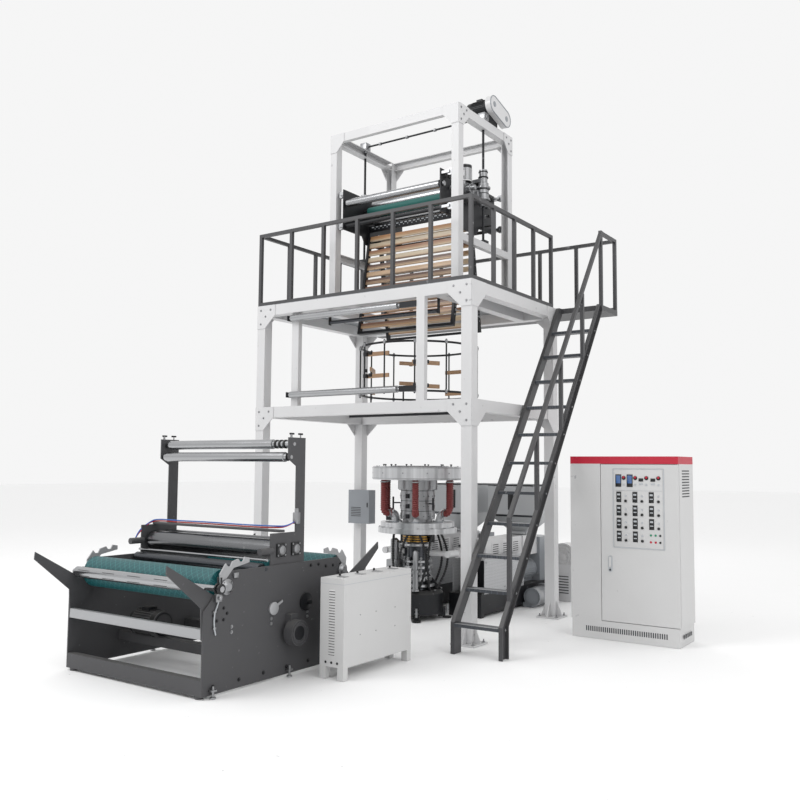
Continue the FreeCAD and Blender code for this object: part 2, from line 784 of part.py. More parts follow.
# Guide wheels in the posts and nuts on the screws
carriage = []
for side, sign, plate_x, post_x, screw_x in (
        ("left", -1, "-nip_half_wide", f"{UPPER_LEFT} + channel_wide", SCREW_LEFT),
        ("right", 1, "nip_half_wide", f"{UPPER_RIGHT} - channel_wide", SCREW_RIGHT)):
    for end in (-1, 1):
        for level, z in (("low", "nip_bottom + wheel_inset"), ("high", "nip_top - wheel_inset")):
            name = f"wheel_{side}_{end + 1}_{level}"
            y = f"({end} * (upper_half_deep - channel_deep / 2))"
            wheel_x = f"({post_x} - {sign} * (wheel_radius + wheel_clear))"
            wheel = rod(name, "Y", wheel_x, f"{y} - wheel_wide / 2", z, "wheel_radius", "wheel_wide")
            reach = f"abs({wheel_x} - ({plate_x}))"
            start_x = plate_x if sign > 0 else wheel_x
            block = box(name + "_block", start_x, f"{y} - wheel_wide", f"{z} - wheel_wide / 2", reach,
                        "2 * wheel_wide", "wheel_wide")
            carriage.append(fuse(name + "_set", wheel, block))
    housing = rod(f"nut_{side}_housing", "Z", screw_x, "0", "nut_seat_z", "nut_radius", "nut_tall")
    start_x = plate_x if sign > 0 else screw_x
    bracket = box(f"nut_{side}_bracket", start_x, "-nut_bracket_deep / 2", "nut_seat_z",
                  f"abs({screw_x} - ({plate_x}))", "nut_bracket_deep", "nut_bracket_tall")
    bore = rod(f"nut_{side}_bore", "Z", screw_x, "0", "nut_seat_z - 1", "screw_radius + shaft_clear", "nut_tall + 2")
    carriage.append(cut(f"nut_{side}", fuse(f"nut_{side}_solid", housing, bracket), bore))
keep("nip_carriage", together("nip_carriage", *carriage))

# Haul-off drive outside the right plate
drive_case = box("nip_drive_case", "nip_half_wide", f"{STEEL_Y} - drive_front", "nip_roll_z - drive_low",
                 "drive_wide", "drive_front + drive_back", "drive_low + drive_high")
drive_motor = rod("nip_drive_motor", "Z", "nip_half_wide + drive_motor_radius", f"{STEEL_Y} - drive_motor_y",
                  "nip_roll_z + drive_high", "drive_motor_radius", "drive_motor_tall")
drive_pocket = rod("nip_drive_pocket", "X", "nip_half_wide - 1", STEEL_Y, "nip_roll_z",
                   "shaft_radius + shaft_clear", "shaft_stub + 1")
keep("nip_drive", cut("nip_drive", fuse("nip_drive_body", drive_case, drive_motor), drive_pocket))

nip_stub = f"{nip_inside} - nip_face_half + nip_plate_thick + shaft_stub / 2"
roller("nip_steel_roller", "-nip_face_half", "nip_face_half", STEEL_Y, "nip_roll_z", "steel_radius",
       "shaft_radius", nip_stub)
roller("nip_rubber_roller", "-nip_face_half", "nip_face_half", RUBBER_Y, "nip_roll_z", "rubber_radius",
       "shaft_radius", nip_stub)
roller("haul_off_guide_roller", "-guide_face_half", "guide_face_half", "guide_roll_y", "guide_roll_z",
       "guide_roll_radius", "shaft_radius", f"{nip_inside} - guide_face_half + nip_plate_thick")

# Collapsing boards: black side rails and wooden slats, front and back
BOARD_LEAN = "atan((board_bottom_y - board_top_y) / (board_top_z - board_bottom_z))"
BOARD_LONG = "sqrt((board_bottom_y - board_top_y)^2 + (board_top_z - board_bottom_z)^2)"


def leaned(name, items, end):
    """Lean a set of pieces drawn hanging from the board's top pivot."""
    holder = doc.addObject("Part::Compound", name)
    holder.Links = items
    holder.Placement = FreeCAD.Placement(FreeCAD.Vector(), FreeCAD.Rotation(FreeCAD.Vector(1, 0, 0), 1))
    bind(holder, Placement__Rotation__Angle=f"{end} * {BOARD_LEAN}")
    place(holder, "0", f"{end} * board_top_y", "board_top_z")
    return holder


rail_sets = []
slat_sets = []
for end, side_name in ((-1, "front"), (1, "back")):
    rails = []
    for side in (-1, 1):
        x = f"{side} * board_rail_x - board_rail_wide / 2"
        rails.append(box(f"board_{side_name}_rail{side + 1}", x, "-board_rail_deep / 2", f"-{BOARD_LONG}",
                         "board_rail_wide", "board_rail_deep", BOARD_LONG))
        pin_x = "board_rail_x" if side > 0 else f"-{nip_inside}"
        rails.append(rod(f"board_{side_name}_pin{side + 1}", "X", pin_x, "0", "-2 * board_pin_radius",
                         "board_pin_radius", f"{nip_inside} - board_rail_x"))
    rails.append(box(f"board_{side_name}_foot", "-board_rail_x", "-board_rail_deep / 2", f"-{BOARD_LONG}",
                     "2 * board_rail_x", "board_rail_deep", "board_rail_wide"))
    rail_sets.append(leaned(f"board_{side_name}_rails", [fuse(f"board_{side_name}_frame", *rails)], end))
    slats = []
    for index in range(int(SIZES["slat_count"])):
        slats.append(box(f"board_{side_name}_slat{index + 1}", "-board_rail_x + board_rail_wide / 2",
                         "-slat_thick / 2", f"-slat_first - slat_tall - {index} * slat_pitch",
                         "2 * board_rail_x - board_rail_wide", "slat_thick", "slat_tall"))
    slat_sets.append(leaned(f"board_{side_name}_slats", slats, end))
keep("board_rails", together("board_rails", *rail_sets))
keep("board_slats", together("board_slats", *slat_sets))

# Film guide rollers across the tower front and their brackets
roller("front_upper_roller", "front_roll_left", "front_roll_right", FRONT_ROLL_Y, "front_upper_z",
       "front_roll_radius", "shaft_radius", "roll_stub")
roller("front_lower_roller", "front_roll_left", "front_roll_right", FRONT_ROLL_Y, "front_lower_z",
       "front_roll_radius", "shaft_radius", "roll_stub")
roller("deck_roller", "-dark_roll_half", "dark_roll_half", DARK_ROLL_Y, "dark_roll_z", "dark_roll_radius",
       "shaft_radius", "dark_roll_stub")

POST_FACE_LEFT = "(middle_post_left - middle_post_wide / 2)"
POST_FACE_RIGHT = "(middle_post_right - middle_post_wide / 2)"
brackets = []
for level in ("front_upper_z", "front_lower_z"):
    low = f"{level} - roll_bracket_tall / 2"
    right_x = "(front_roll_right + roll_stub / 2)"
    arm = box(f"bracket_{level}_right_arm", right_x, f"{FRONT_ROLL_Y} - roll_bracket_half", low,
              f"{POST_FACE_RIGHT} - {right_x}", "2 * roll_bracket_half", "roll_bracket_tall")
    bore = rod(f"bracket_{level}_right_bore", "X", f"{right_x} - 1", FRONT_ROLL_Y, level,
               "shaft_radius + shaft_clear", "roll_stub")
    brackets.append(cut(f"bracket_{level}_right", arm, bore))
    left_x = f"{POST_FACE_LEFT} - roll_bracket_thick"
    bar = box(f"bracket_{level}_left_bar", left_x, f"{FRONT_ROLL_Y} - roll_bracket_tall / 2", low, "roll_bracket_thick",
              f"{FRONT} + post_size - middle_post_deep - {FRONT_ROLL_Y} + roll_bracket_tall / 2 + roll_bracket_grip",
              "roll_bracket_tall")
    left_bore = rod(f"bracket_{level}_left_bore", "X", f"{left_x} - 1", FRONT_ROLL_Y, level,
                    "shaft_radius + shaft_clear", "roll_bracket_thick + 2")
    brackets.append(cut(f"bracket_{level}_left", bar, left_bore))
for side in (-1, 1):
    name = f"deck_roll_hanger{side + 1}"
    x = f"{side} * (dark_roll_half + dark_roll_stub / 2 + roll_bracket_thick / 2) - roll_bracket_thick / 2"
    hanger = box(name + "_bar", x, f"{DARK_ROLL_Y} - roll_bracket_half", "dark_roll_z - roll_bracket_tall / 2",
                 "roll_bracket_thick", "2 * roll_bracket_half", "deck_top - dark_roll_z + roll_bracket_tall / 2")
    bore = rod(name + "_bore", "X", f"{x} - 1", DARK_ROLL_Y, "dark_roll_z", "shaft_radius + shaft_clear",
               "roll_bracket_thick + 2")
    brackets.append(cut(name, hanger, bore))
keep("roller_brackets", together("roller_brackets", *brackets))


# Bubble cage: two rings, upright rods and hinged guide arms
def hoop(name, z):
    """Make one round hoop of the cage."""
    item = doc.addObject("Part::Torus", name)
    bind(item, Radius1="cage_radius", Radius2="cage_ring_radius")
    place(item, "0", "0", z)
    return item


def cage_rod(name, angle):
    """Make one upright rod welded to the outside of the hoops."""
    bar = rod(name, "Z", "cage_radius + cage_ring_radius + cage_rod_radius - cage_sink", "0",
              "cage_low - cage_rod_over", "cage_rod_radius", "cage_high - cage_low + 2 * cage_rod_over")
    return around(bar, angle)


def cage_lean(name, item, angle):
    """Lean a piece drawn beside the arm pivot inward and turn it to its rod."""
    lean = FreeCAD.Rotation(FreeCAD.Vector(0, 0, 1), SIZES["arm_lean"])
    holder = doc.addObject("Part::Compound", name + "_lean")
    holder.Links = [item]
    holder.Placement = FreeCAD.Placement(FreeCAD.Vector(), lean)
    place(holder, "cage_radius - cage_ring_radius", "0", "0")
    return around(holder, angle)


CAGE_STAND_Y = "sqrt(cage_radius^2 - cage_stand_x^2)"
welded = [hoop("cage_ring_low", "cage_low"), hoop("cage_ring_high", "cage_high")]
welded += ring_of("cage_rod", cage_rod, int(SIZES["cage_rods"]))
for end in (-1, 1):
    welded.append(box(f"cage_bar{end + 1}", INNER_LEFT, f"{end} * {CAGE_STAND_Y} - cage_bar_wide / 2",
                      "ring_top - cage_bar_wide", "tower_width - 2 * post_size", "cage_bar_wide", "cage_bar_wide"))
    for side in (-1, 1):
        welded.append(rod(f"cage_stand{end + 1}{side + 1}", "Z", f"{side} * cage_stand_x",
                          f"{end} * {CAGE_STAND_Y}", "ring_top", "cage_rod_radius", "cage_low - ring_top"))
arms = []
for index in range(6):
    levels = ("cage_high - 130", "cage_high - 380") if index % 2 == 0 else ("cage_high - 255", "cage_low + 35")
    for step, level in enumerate(levels, start=1):
        clamp = box(f"cage_clamp{index + 1}{step}", "0", "-clamp_front", level, "clamp_deep",
                    "clamp_front + clamp_back", "arm_tall")
        welded.append(cage_lean(f"cage_clamp{index + 1}{step}", clamp, 60.0 * index))
        bar = box(f"cage_arm{index + 1}{step}", "-arm_thick", "-clamp_front", level, "arm_thick", "arm_long", "arm_tall")
        arms.append(cage_lean(f"cage_arm{index + 1}{step}", bar, 60.0 * index))
keep("cage_frame", fuse("cage_frame", *welded))
keep("cage_arms", together("cage_arms", *arms))

# Air ring round the die lip
ring_profile = [("air_ring_bore", "air_ring_bottom + 30"), ("air_ring_bore + 30", "air_ring_bottom"),
                ("air_ring_radius - air_ring_edge", "air_ring_bottom"),
                ("air_ring_radius", "air_ring_bottom + air_ring_edge"),
                ("air_ring_radius", "air_ring_top - air_ring_edge"),
                ("air_ring_radius - air_ring_edge", "air_ring_top"),
                ("air_ring_bore + 90", "air_ring_top"), ("air_ring_bore", "air_ring_top - 40")]
keep("air_ring", turned("air_ring", ring_profile))

# Die head from the rotating flange up to the lip
die_profile = [("0", "turn_top"), ("die_radius - 25", "turn_top"), ("die_radius - 25", "turn_top + 60"),
               ("die_radius", "turn_top + 80"), ("die_radius", "die_flange_bottom"),
               ("die_flange_radius", "die_flange_bottom"), ("die_flange_radius", "air_ring_bottom"),
               ("die_lip_radius", "air_ring_bottom"), ("die_lip_radius", "die_lip_top - 20"),
               ("die_lip_radius - 20", "die_lip_top"), ("0", "die_lip_top")]
keep("die_head", turned("die_head", die_profile))

# Rotating flange with the elbows that feed the hoses
flange = turned("turn_flange_disc",
                [("0", "turn_bottom"), ("turn_flange_radius", "turn_bottom"), ("turn_flange_radius", "turn_step"),
                 ("turn_step_radius", "turn_step"), ("turn_step_radius", "turn_top"), ("0", "turn_top")])


def bend(name, start, ring, level, radius, pipe):
    """Make a quarter bend in the upright plane, centred at a ring radius and a level."""
    item = doc.addObject("Part::Torus", name)
    upright = FreeCAD.Rotation(FreeCAD.Vector(1, 0, 0), 90)
    item.Placement = FreeCAD.Placement(FreeCAD.Vector(), upright * FreeCAD.Rotation(FreeCAD.Vector(0, 0, 1), start))
    item.Angle3 = 90
    bind(item, Radius1=radius, Radius2=pipe)
    place(item, ring, "0", level)
    return item


def elbow(name, angle):
    """Make one elbow that rises from the rotating flange and turns outward."""
    riser = rod(name + "_riser", "Z", "elbow_ring", "0", "turn_top", "elbow_radius", "elbow_rise")
    quarter = bend(name + "_bend", 90, "elbow_ring + elbow_bend", "turn_top + elbow_rise", "elbow_bend", "elbow_radius")
    return around(fuse(name + "_pipe", riser, quarter), angle)


elbows = ring_of("elbow", elbow, int(SIZES["hose_count"]))
keep("rotating_flange", fuse("rotating_flange", flange, *elbows))


def hose(name, angle):
    """Make one air hose from its elbow's mouth up to the air ring."""
    mouth = "(turn_top + elbow_rise + elbow_bend)"
    quarter = bend(name + "_bend", -90, "elbow_ring + elbow_bend", f"{mouth} + hose_bend", "hose_bend", "hose_radius")
    pipe = rod(name + "_pipe", "Z", "elbow_ring + elbow_bend + hose_bend", "0", f"{mouth} + hose_bend",
               "hose_radius", f"air_ring_bottom - {mouth} - hose_bend")
    return around(fuse(name + "_run", quarter, pipe), angle)


keep("air_hoses", together("air_hoses", *ring_of("air_hose", hose, int(SIZES["hose_count"]))))

# Die stand with slip rings, core and cast base
core_profile = [("0", "core_bottom"), ("core_radius + core_foot", "core_bottom"),
                ("core_radius", "core_bottom + core_foot_tall"),
                ("core_radius", "slip_ring_bottom"), ("slip_ring_radius", "slip_ring_bottom"),
                ("slip_ring_radius", "slip_ring_top"), ("core_radius", "slip_ring_top"),
                ("core_radius", "turn_bottom"), ("0", "turn_bottom")]
melt_block = box("melt_block", "-melt_block_half", "-melt_block_deep / 2", "barrel_z - melt_block_tall / 2",
                 "2 * melt_block_half", "melt_block_deep", "melt_block_tall")
keep("die_core", fuse("die_core", turned("die_core_column", core_profile), melt_block))
base_profile = [("0", "stand_bottom"), ("stand_radius", "stand_bottom"), ("stand_radius", "core_bottom - stand_edge"),
                ("stand_radius - stand_edge", "core_bottom"), ("0", "core_bottom")]
base = turned("stand_drum", base_profile)


def stand_foot(name, angle):
    """Make one foot plate with its anchor hole and the bracket that carries it."""
    pad = rod(name + "_pad", "Z", "stand_foot_ring", "0", "0", "stand_foot_radius", "stand_foot_thick")
    anchor = rod(name + "_anchor", "Z", "stand_foot_ring", "0", "-1", "stand_hole_radius", "stand_foot_thick + 2")
    arm = box(name + "_arm", "stand_radius - 60", "-stand_foot_radius / 2", "stand_foot_thick",
              "stand_foot_ring - stand_radius + 60 - stand_hole_radius - 10", "stand_foot_radius",
              "stand_foot_tall")
    return around(fuse(name + "_set", cut(name + "_plate", pad, anchor), arm), angle - stand_turn)


stand_turn = SIZES["stand_foot_turn"]
feet = ring_of("stand_foot", stand_foot, int(SIZES["stand_feet"]))
keep("die_stand", fuse("die_stand", base, *feet))

# Two extruders side by side behind the die
def wedge(name, x, y, low, high, low_half, high_half):
    """Make a square funnel that widens from its low face to its high face."""
    item = doc.addObject("Part::Wedge", name)
    item.Placement = FreeCAD.Placement(FreeCAD.Vector(), FreeCAD.Rotation(FreeCAD.Vector(1, 0, 0), 90))
    bind(item, Xmin=f"-({low_half})", Xmax=low_half, Zmin=f"-({low_half})", Zmax=low_half, Ymin="0",
         Ymax=f"{high} - ({low})", X2min=f"-({high_half})", X2max=high_half, Z2min=f"-({high_half})",
         Z2max=high_half)
    place(item, x, y, low)
    return item


def hopper_form(name, x, y, wall):
    """Make the solid form of a hopper, drawn in by a wall thickness."""
    funnel = wedge(name + "_funnel", x, y, "hopper_outlet", "hopper_straight", f"throat_size / 2 - {wall}",
                   f"hopper_size / 2 - {wall}")
    straight = box(name + "_bin", f"{x} - hopper_size / 2 + {wall}", f"{y} - hopper_size / 2 + {wall}",
                   "hopper_straight", f"hopper_size - 2 * {wall}", f"hopper_size - 2 * {wall}",
                   f"hopper_top - hopper_straight + {wall}")
    return fuse(name, funnel, straight)


bases = []
barrels = []
hoppers = []
drives = []
guards = []
for side in (-1, 1):
    tag = "left" if side < 0 else "right"
    centre = f"({side} * extruder_pitch / 2)"
    bed_top = "(bed_bottom + bed_tall)"
    bed = box(f"bed_{tag}_frame", f"{centre} - bed_wide / 2", "bed_front", "bed_bottom", "bed_wide",
              "bed_back - bed_front", "bed_tall")
    pads = [box(f"bed_{tag}_pad{number}", f"{centre} + ({x})", y, "0", "bed_pad", "bed_pad", "bed_bottom")
            for number, (x, y) in enumerate((("-bed_wide / 2", "bed_front"),
                                             ("bed_wide / 2 - bed_pad", "bed_front"),
                                             ("-bed_wide / 2", "bed_back - bed_pad"),
                                             ("bed_wide / 2 - bed_pad", "bed_back - bed_pad")))]
    pedestal = box(f"bed_{tag}_pedestal", f"{centre} - cover_wide / 2", "cover_front", bed_top,
                   "cover_wide", "pedestal_deep", f"barrel_z - cover_tall / 2 - {bed_top}")
    bases.append(fuse(f"bed_{tag}", bed, *pads, pedestal))
    cover = box(f"cover_{tag}", f"{centre} - cover_wide / 2", "cover_front", "barrel_z - cover_tall / 2",
                "cover_wide", "cover_back - cover_front", "cover_tall")
    feed = box(f"feed_{tag}", f"{centre} - feed_wide / 2", "cover_back", "barrel_z - feed_low", "feed_wide",
               "gearcase_front - cover_back", "feed_low + cover_tall / 2")
    nose = rod(f"barrel_{tag}_nose", "Y", centre, "barrel_tip", "barrel_z", "barrel_radius",
               "cover_front - barrel_tip")
    adapter = rod(f"adapter_{tag}", "Y", centre, "adapter_front", "barrel_z", "adapter_radius",
                  "barrel_tip - adapter_front")
    pipe_x = "-extruder_pitch / 2" if side < 0 else "melt_block_half"
    pipe = rod(f"melt_pipe_{tag}", "X", pipe_x, "0", "barrel_z", "melt_pipe_radius",
               "extruder_pitch / 2 - melt_block_half")
    barrels.append(fuse(f"barrel_{tag}", cover, feed, nose, adapter, pipe))
    middle = "(hopper_front + hopper_size / 2)"
    outer = hopper_form(f"hopper_{tag}_outer", centre, middle, "0")
    inner = hopper_form(f"hopper_{tag}_inner", centre, middle, "hopper_wall")
    throat = box(f"hopper_{tag}_throat", f"{centre} - throat_size / 2", f"{middle} - throat_size / 2",
                 "barrel_z + cover_tall / 2", "throat_size", "throat_size",
                 "hopper_outlet - barrel_z - cover_tall / 2")
    hoppers.append(fuse(f"hopper_{tag}", cut(f"hopper_{tag}_shell", outer, inner), throat))
    case = box(f"gearcase_{tag}", f"{centre} - gearcase_wide / 2", "gearcase_front", bed_top,
               "gearcase_wide", "gearcase_back - gearcase_front", "gearcase_tall")
    motor_z = f"({bed_top} + motor_foot + motor_radius)"
    motor = rod(f"motor_{tag}", "Y", centre, "gearcase_front - motor_long", motor_z, "motor_radius", "motor_long")
    motor_seat = box(f"motor_seat_{tag}", f"{centre} - motor_radius / 2", "gearcase_front - motor_long", bed_top,
                     "motor_radius", "motor_long", "motor_foot + motor_radius / 2")
    edge = "bed_wide / 2" if side > 0 else "-bed_wide / 2 - side_motor_gap - side_motor_radius"
    seat_x = f"{centre} + {edge}"
    side_motor = rod(f"side_motor_{tag}", "Y", f"{centre} + ({side}) * (bed_wide / 2 + side_motor_gap + side_motor_radius)",
                     "side_motor_front", "side_motor_radius + side_motor_gap", "side_motor_radius", "side_motor_long")
    side_seat = box(f"side_motor_seat_{tag}", seat_x, "side_motor_front + side_motor_gap", "0",
                    "side_motor_gap + side_motor_radius", "side_motor_long - 2 * side_motor_gap",
                    "side_motor_radius / 2")
    drives.append(fuse(f"drive_{tag}", case, motor, motor_seat))
    drives.append(fuse(f"side_drive_{tag}", side_motor, side_seat))
    for face, sheet_x in (("inner", f"{centre} - bed_wide / 2"), ("outer", f"{centre} + bed_wide / 2 - guard_sheet")):
        guards.append(box(f"guard_{tag}_{face}", sheet_x, "guard_front", bed_top, "guard_sheet",
                          "guard_back - guard_front", "guard_tall"))
keep("extruder_beds", together("extruder_beds", *bases))
keep("extruder_barrels", together("extruder_barrels", *barrels))
keep("hoppers", together("hoppers", *hoppers))
keep("extruder_drives", together("extruder_drives", *drives))
keep("barrel_guards", together("barrel_guards", *guards))

# Cooling blower beside the extruders
blower_case = rod("blower_case", "Y", "blower_x", "blower_y - blower_thick / 2", "blower_z", "blower_radius",
                  "blower_thick")
blower_base = box("blower_base", "blower_x - blower_base_wide / 2", "blower_y - blower_base_wide / 2", "0",
                  "blower_base_wide", "blower_base_wide", "blower_z - blower_radius / 2")
keep("cooling_blower", fuse("cooling_blower", blower_case, blower_base))

# Junction box on the back left post
keep("junction_box", box("junction_box", f"{LEFT} + box_inset", f"{BACK} - post_size - box_deep",
                         "box_bottom", "box_wide", "box_deep", "box_tall"))

# Stair stringers with the landing and the walkway behind the tower
STAIR_SLOPE = f"(({STAIR_HEAD_Y} - {STAIR_FOOT_Y}) / (deck_top - stair_bend_z))"


def stringer_outline(half):
    """Give a stringer's outline from the foot to the landing."""
    return [(f"{STAIR_FOOT_Y} - {half}", "0"), (f"{STAIR_FOOT_Y} + {half}", "0"),
            (f"{STAIR_FOOT_Y} + {half}", "stair_bend_z"), (f"{STAIR_HEAD_Y} + {half}", "deck_top"),
            (f"{STAIR_HEAD_Y} - {half}", "deck_top"), (f"{STAIR_FOOT_Y} - {half}", "stair_bend_z")]


stringers = []
for side, x in (("left", STAIR_LEFT), ("right", f"{STAIR_RIGHT} - stringer_flange")):
    outer = prism(f"stringer_{side}_outer", "YZ", stringer_outline("stringer_deep / 2"), "stringer_flange", x)
    hollow_x = x if side == "left" else f"{x} + stringer_thick"
    hollow = prism(f"stringer_{side}_hollow", "YZ", stringer_outline("(stringer_deep / 2 - stringer_thick)"),
                   "stringer_flange - stringer_thick", hollow_x)
    stringers.append(cut("stringer_" + side, outer, hollow))
landing = box("landing_slab", STAIR_LEFT, f"{BACK} + knee_thick", "deck_top - landing_thick",
              f"{STAIR_RIGHT} - {STAIR_LEFT}", f"{WALKWAY_BACK} - {BACK} - knee_thick", "landing_thick")
walkway = box("walkway_slab", LEFT, f"{BACK} + knee_thick", "deck_top - landing_thick",
              f"{STAIR_LEFT} - {LEFT}", f"{WALKWAY_BACK} - {BACK} - knee_thick", "landing_thick")
keep("stair_frame", fuse("stair_frame", *stringers, landing, walkway))

treads = []
for index in range(int(SIZES["tread_count"])):
    top = f"(tread_first_z + {index} * tread_rise)"
    middle = f"({STAIR_FOOT_Y} + ({top} - stair_bend_z) * {STAIR_SLOPE})"
    treads.append(box(f"tread{index + 1}", f"{STAIR_LEFT} + stringer_flange", f"{middle} - tread_deep / 2",
                      f"{top} - tread_thick", f"{STAIR_RIGHT} - {STAIR_LEFT} - 2 * stringer_flange", "tread_deep",
                      "tread_thick"))
keep("stair_treads", together("stair_treads", *treads))

# Railings of square tube round the deck and the walkway
RAIL_LOW = "(deck_top + deck_plate_thick)"
RAIL_TOP = "(deck_top + rail_height)"


def railing(name, axis, fixed, start, end, stations, floor):
    """Make a railing along X or Y with a foot rail, a top rail and posts at the stations."""
    half = "rail_size / 2"
    pieces = []
    for part, z in (("foot", floor), ("top", f"{RAIL_TOP} - rail_size")):
        if axis == "X":
            pieces.append(box(f"{name}_{part}", start, f"{fixed} - {half}", z, f"{end} - ({start})", "rail_size",
                              "rail_size"))
        else:
            pieces.append(box(f"{name}_{part}", f"{fixed} - {half}", start, z, "rail_size", f"{end} - ({start})",
                              "rail_size"))
    for number, station in enumerate(stations, start=1):
        x, y = (station, fixed) if axis == "X" else (fixed, station)
        pieces.append(box(f"{name}_post{number}", f"{x} - {half}", f"{y} - {half}", floor, "rail_size", "rail_size",
                          f"{RAIL_TOP} - ({floor})"))
    return fuse(name, *pieces)


RAIL_INSET = "(rail_size / 2 + 1)"
RAIL_FRONT_Y = f"({FRONT} + {RAIL_INSET})"
RAIL_LEFT_X = f"({LEFT} + {RAIL_INSET})"
RAIL_RIGHT_X = f"({RIGHT} - {RAIL_INSET})"
RAIL_BACK_Y = f"({WALKWAY_BACK} - {RAIL_INSET})"
RAIL_LAND_X = f"({STAIR_RIGHT} - {RAIL_INSET})"
GATE_Y = f"({BACK} - post_size)"

front_stations = [f"({RAIL_LEFT_X} + {n} * ({RAIL_RIGHT_X} - {RAIL_LEFT_X}) / 6)" for n in range(7)]
keep("railing_front", railing("railing_front", "X", RAIL_FRONT_Y, f"{RAIL_LEFT_X} - rail_size / 2",
                              f"{RAIL_RIGHT_X} + rail_size / 2", front_stations, RAIL_LOW))
side_start = f"{RAIL_FRONT_Y} + rail_size / 2"
right_stations = [f"({RAIL_FRONT_Y} + {n} * ({GATE_Y} - {RAIL_FRONT_Y}) / 4)" for n in range(1, 5)]
railing_right = railing("railing_right", "Y", RAIL_RIGHT_X, side_start, f"{GATE_Y} + rail_size / 2",
                        right_stations, RAIL_LOW)
left_stations = [f"({RAIL_FRONT_Y} + {n} * ({RAIL_BACK_Y} - {RAIL_FRONT_Y}) / 5)" for n in range(1, 5)]
railing_left = railing("railing_left", "Y", RAIL_LEFT_X, side_start, f"{RAIL_BACK_Y} - rail_size / 2",
                       left_stations, RAIL_LOW)
keep("railing_sides", together("railing_sides", railing_left, railing_right))
back_stations = [f"({RAIL_LEFT_X} + {n} * ({RAIL_LAND_X} - {RAIL_LEFT_X}) / 7)" for n in range(8)]
railing_back = railing("railing_back", "X", RAIL_BACK_Y, f"{RAIL_LEFT_X} - rail_size / 2",
                       f"{RAIL_LAND_X} + rail_size / 2", back_stations, "deck_top")

# Stair handrail and the end rail of the landing
HAND_TOP_Y = f"({BACK} + knee_thick + {RAIL_INSET})"
HAND_SLOPE = f"(1 / {STAIR_SLOPE})"
hand_low_y = f"({STAIR_FOOT_Y} + hand_start)"
hand_low_z = "(stair_bend_z + hand_rise)"
hand_top_z = f"({hand_low_z} + ({HAND_TOP_Y} - {hand_low_y}) * {HAND_SLOPE})"
hand_drop = "hand_deep"
handrail = prism("handrail_slope", "YZ",
                 [(hand_low_y, f"{hand_low_z} - {hand_drop}"), (HAND_TOP_Y, f"{hand_top_z} - {hand_drop}"),
                  (HAND_TOP_Y, hand_top_z), (hand_low_y, hand_low_z)],
                 "rail_size", f"{RAIL_LAND_X} - rail_size / 2")
hand_pieces = [handrail]


def stringer_top(y):
    """Give the height of a stringer's upper edge at a place along the stair."""
    return f"(stair_bend_z + ({y} - {STAIR_FOOT_Y} + stringer_deep / 2) * {HAND_SLOPE})"


for number in range(4):
    near = f"({hand_low_y} + {number} * ({HAND_TOP_Y} - {hand_low_y}) / 4)"
    far = f"({near} + rail_size)"
    high = f"({hand_low_z} + ({near} - {hand_low_y}) * {HAND_SLOPE} - {hand_drop} / 2)"
    hand_pieces.append(prism(f"handrail_post{number + 1}", "YZ",
                             [(near, stringer_top(near)), (far, stringer_top(far)), (far, high), (near, high)],
                             "rail_size", f"{RAIL_LAND_X} - rail_size / 2"))
hand_pieces.append(box("landing_post", f"{RAIL_LAND_X} - rail_size / 2", f"{HAND_TOP_Y} - rail_size / 2", "deck_top",
                       "rail_size", "rail_size", f"{hand_top_z} - deck_top"))
hand_pieces.append(box("landing_rail", f"{RAIL_LAND_X} - rail_size / 2", HAND_TOP_Y, f"{RAIL_TOP} - rail_size",
                       "rail_size", f"{RAIL_BACK_Y} - rail_size / 2 - {HAND_TOP_Y}", "rail_size"))
keep("landing_railing", fuse("landing_railing", railing_back, *hand_pieces))

# Winder side plates
side_outline = [(WINDER_FRONT, "level_foot_tall"), (WINDER_BACK, "level_foot_tall"),
                (WINDER_BACK, "winder_shoulder_z"), ("winder_centre_y + winder_half_top", "winder_top_z"),
                ("winder_centre_y - winder_half_top", "winder_top_z"), (WINDER_FRONT, "winder_shoulder_z")]
inside_left = "(winder_left + winder_plate)"
inside_right = "(winder_right - winder_plate)"
winder_bores = [("drum_front", DRUM_FRONT_Y, "drum_z", "drum_shaft"), ("drum_back", DRUM_BACK_Y, "drum_z", "drum_shaft"),
                ("spread", "spread_roll_y", "spread_roll_z", "shaft_radius")]
winder_plates = []
for side, x in (("left", "winder_left"), ("right", inside_right)):
    plate = prism("winder_plate_" + side, "YZ", side_outline, "winder_plate", x)
    bores = [rod(f"winder_bore_{side}_{name}", "X", f"{x} - 1", y, z, f"{radius} + shaft_clear", "winder_plate + 2")
             for name, y, z, radius in winder_bores]
    winder_plates.append(cut("winder_side_" + side, plate, together("winder_bores_" + side, *bores)))
keep("winder_sides", together("winder_sides", *winder_plates))

# Winder beams between the side plates and its levelling feet
inside_wide = f"{inside_right} - {inside_left}"
cross_left = f"{inside_left} + arm_plate"
cross_wide = f"{inside_wide} - 2 * arm_plate"
beams = [
    box("winder_floor_front", inside_left, WINDER_FRONT, "level_foot_tall", inside_wide, "floor_beam_deep",
        "floor_beam_tall"),
    box("winder_floor_back", inside_left, f"{WINDER_BACK} - floor_beam_deep", "level_foot_tall", inside_wide,
        "floor_beam_deep", "floor_beam_tall"),
    box("winder_cross_front", cross_left, WINDER_FRONT, "cross_beam_z", cross_wide, "cross_beam_deep",
        "cross_beam_tall"),
    box("winder_cross_back", cross_left, f"{WINDER_BACK} - cross_beam_deep", "cross_beam_z", cross_wide,
        "cross_beam_deep", "cross_beam_tall"),
    box("winder_shelf_front", inside_left, "winder_centre_y - 420", "motor_shelf_z - 80", inside_wide, "80", "80"),
    box("winder_shelf_back", inside_left, "winder_centre_y + 340", "motor_shelf_z - 80", inside_wide, "80", "80"),
]
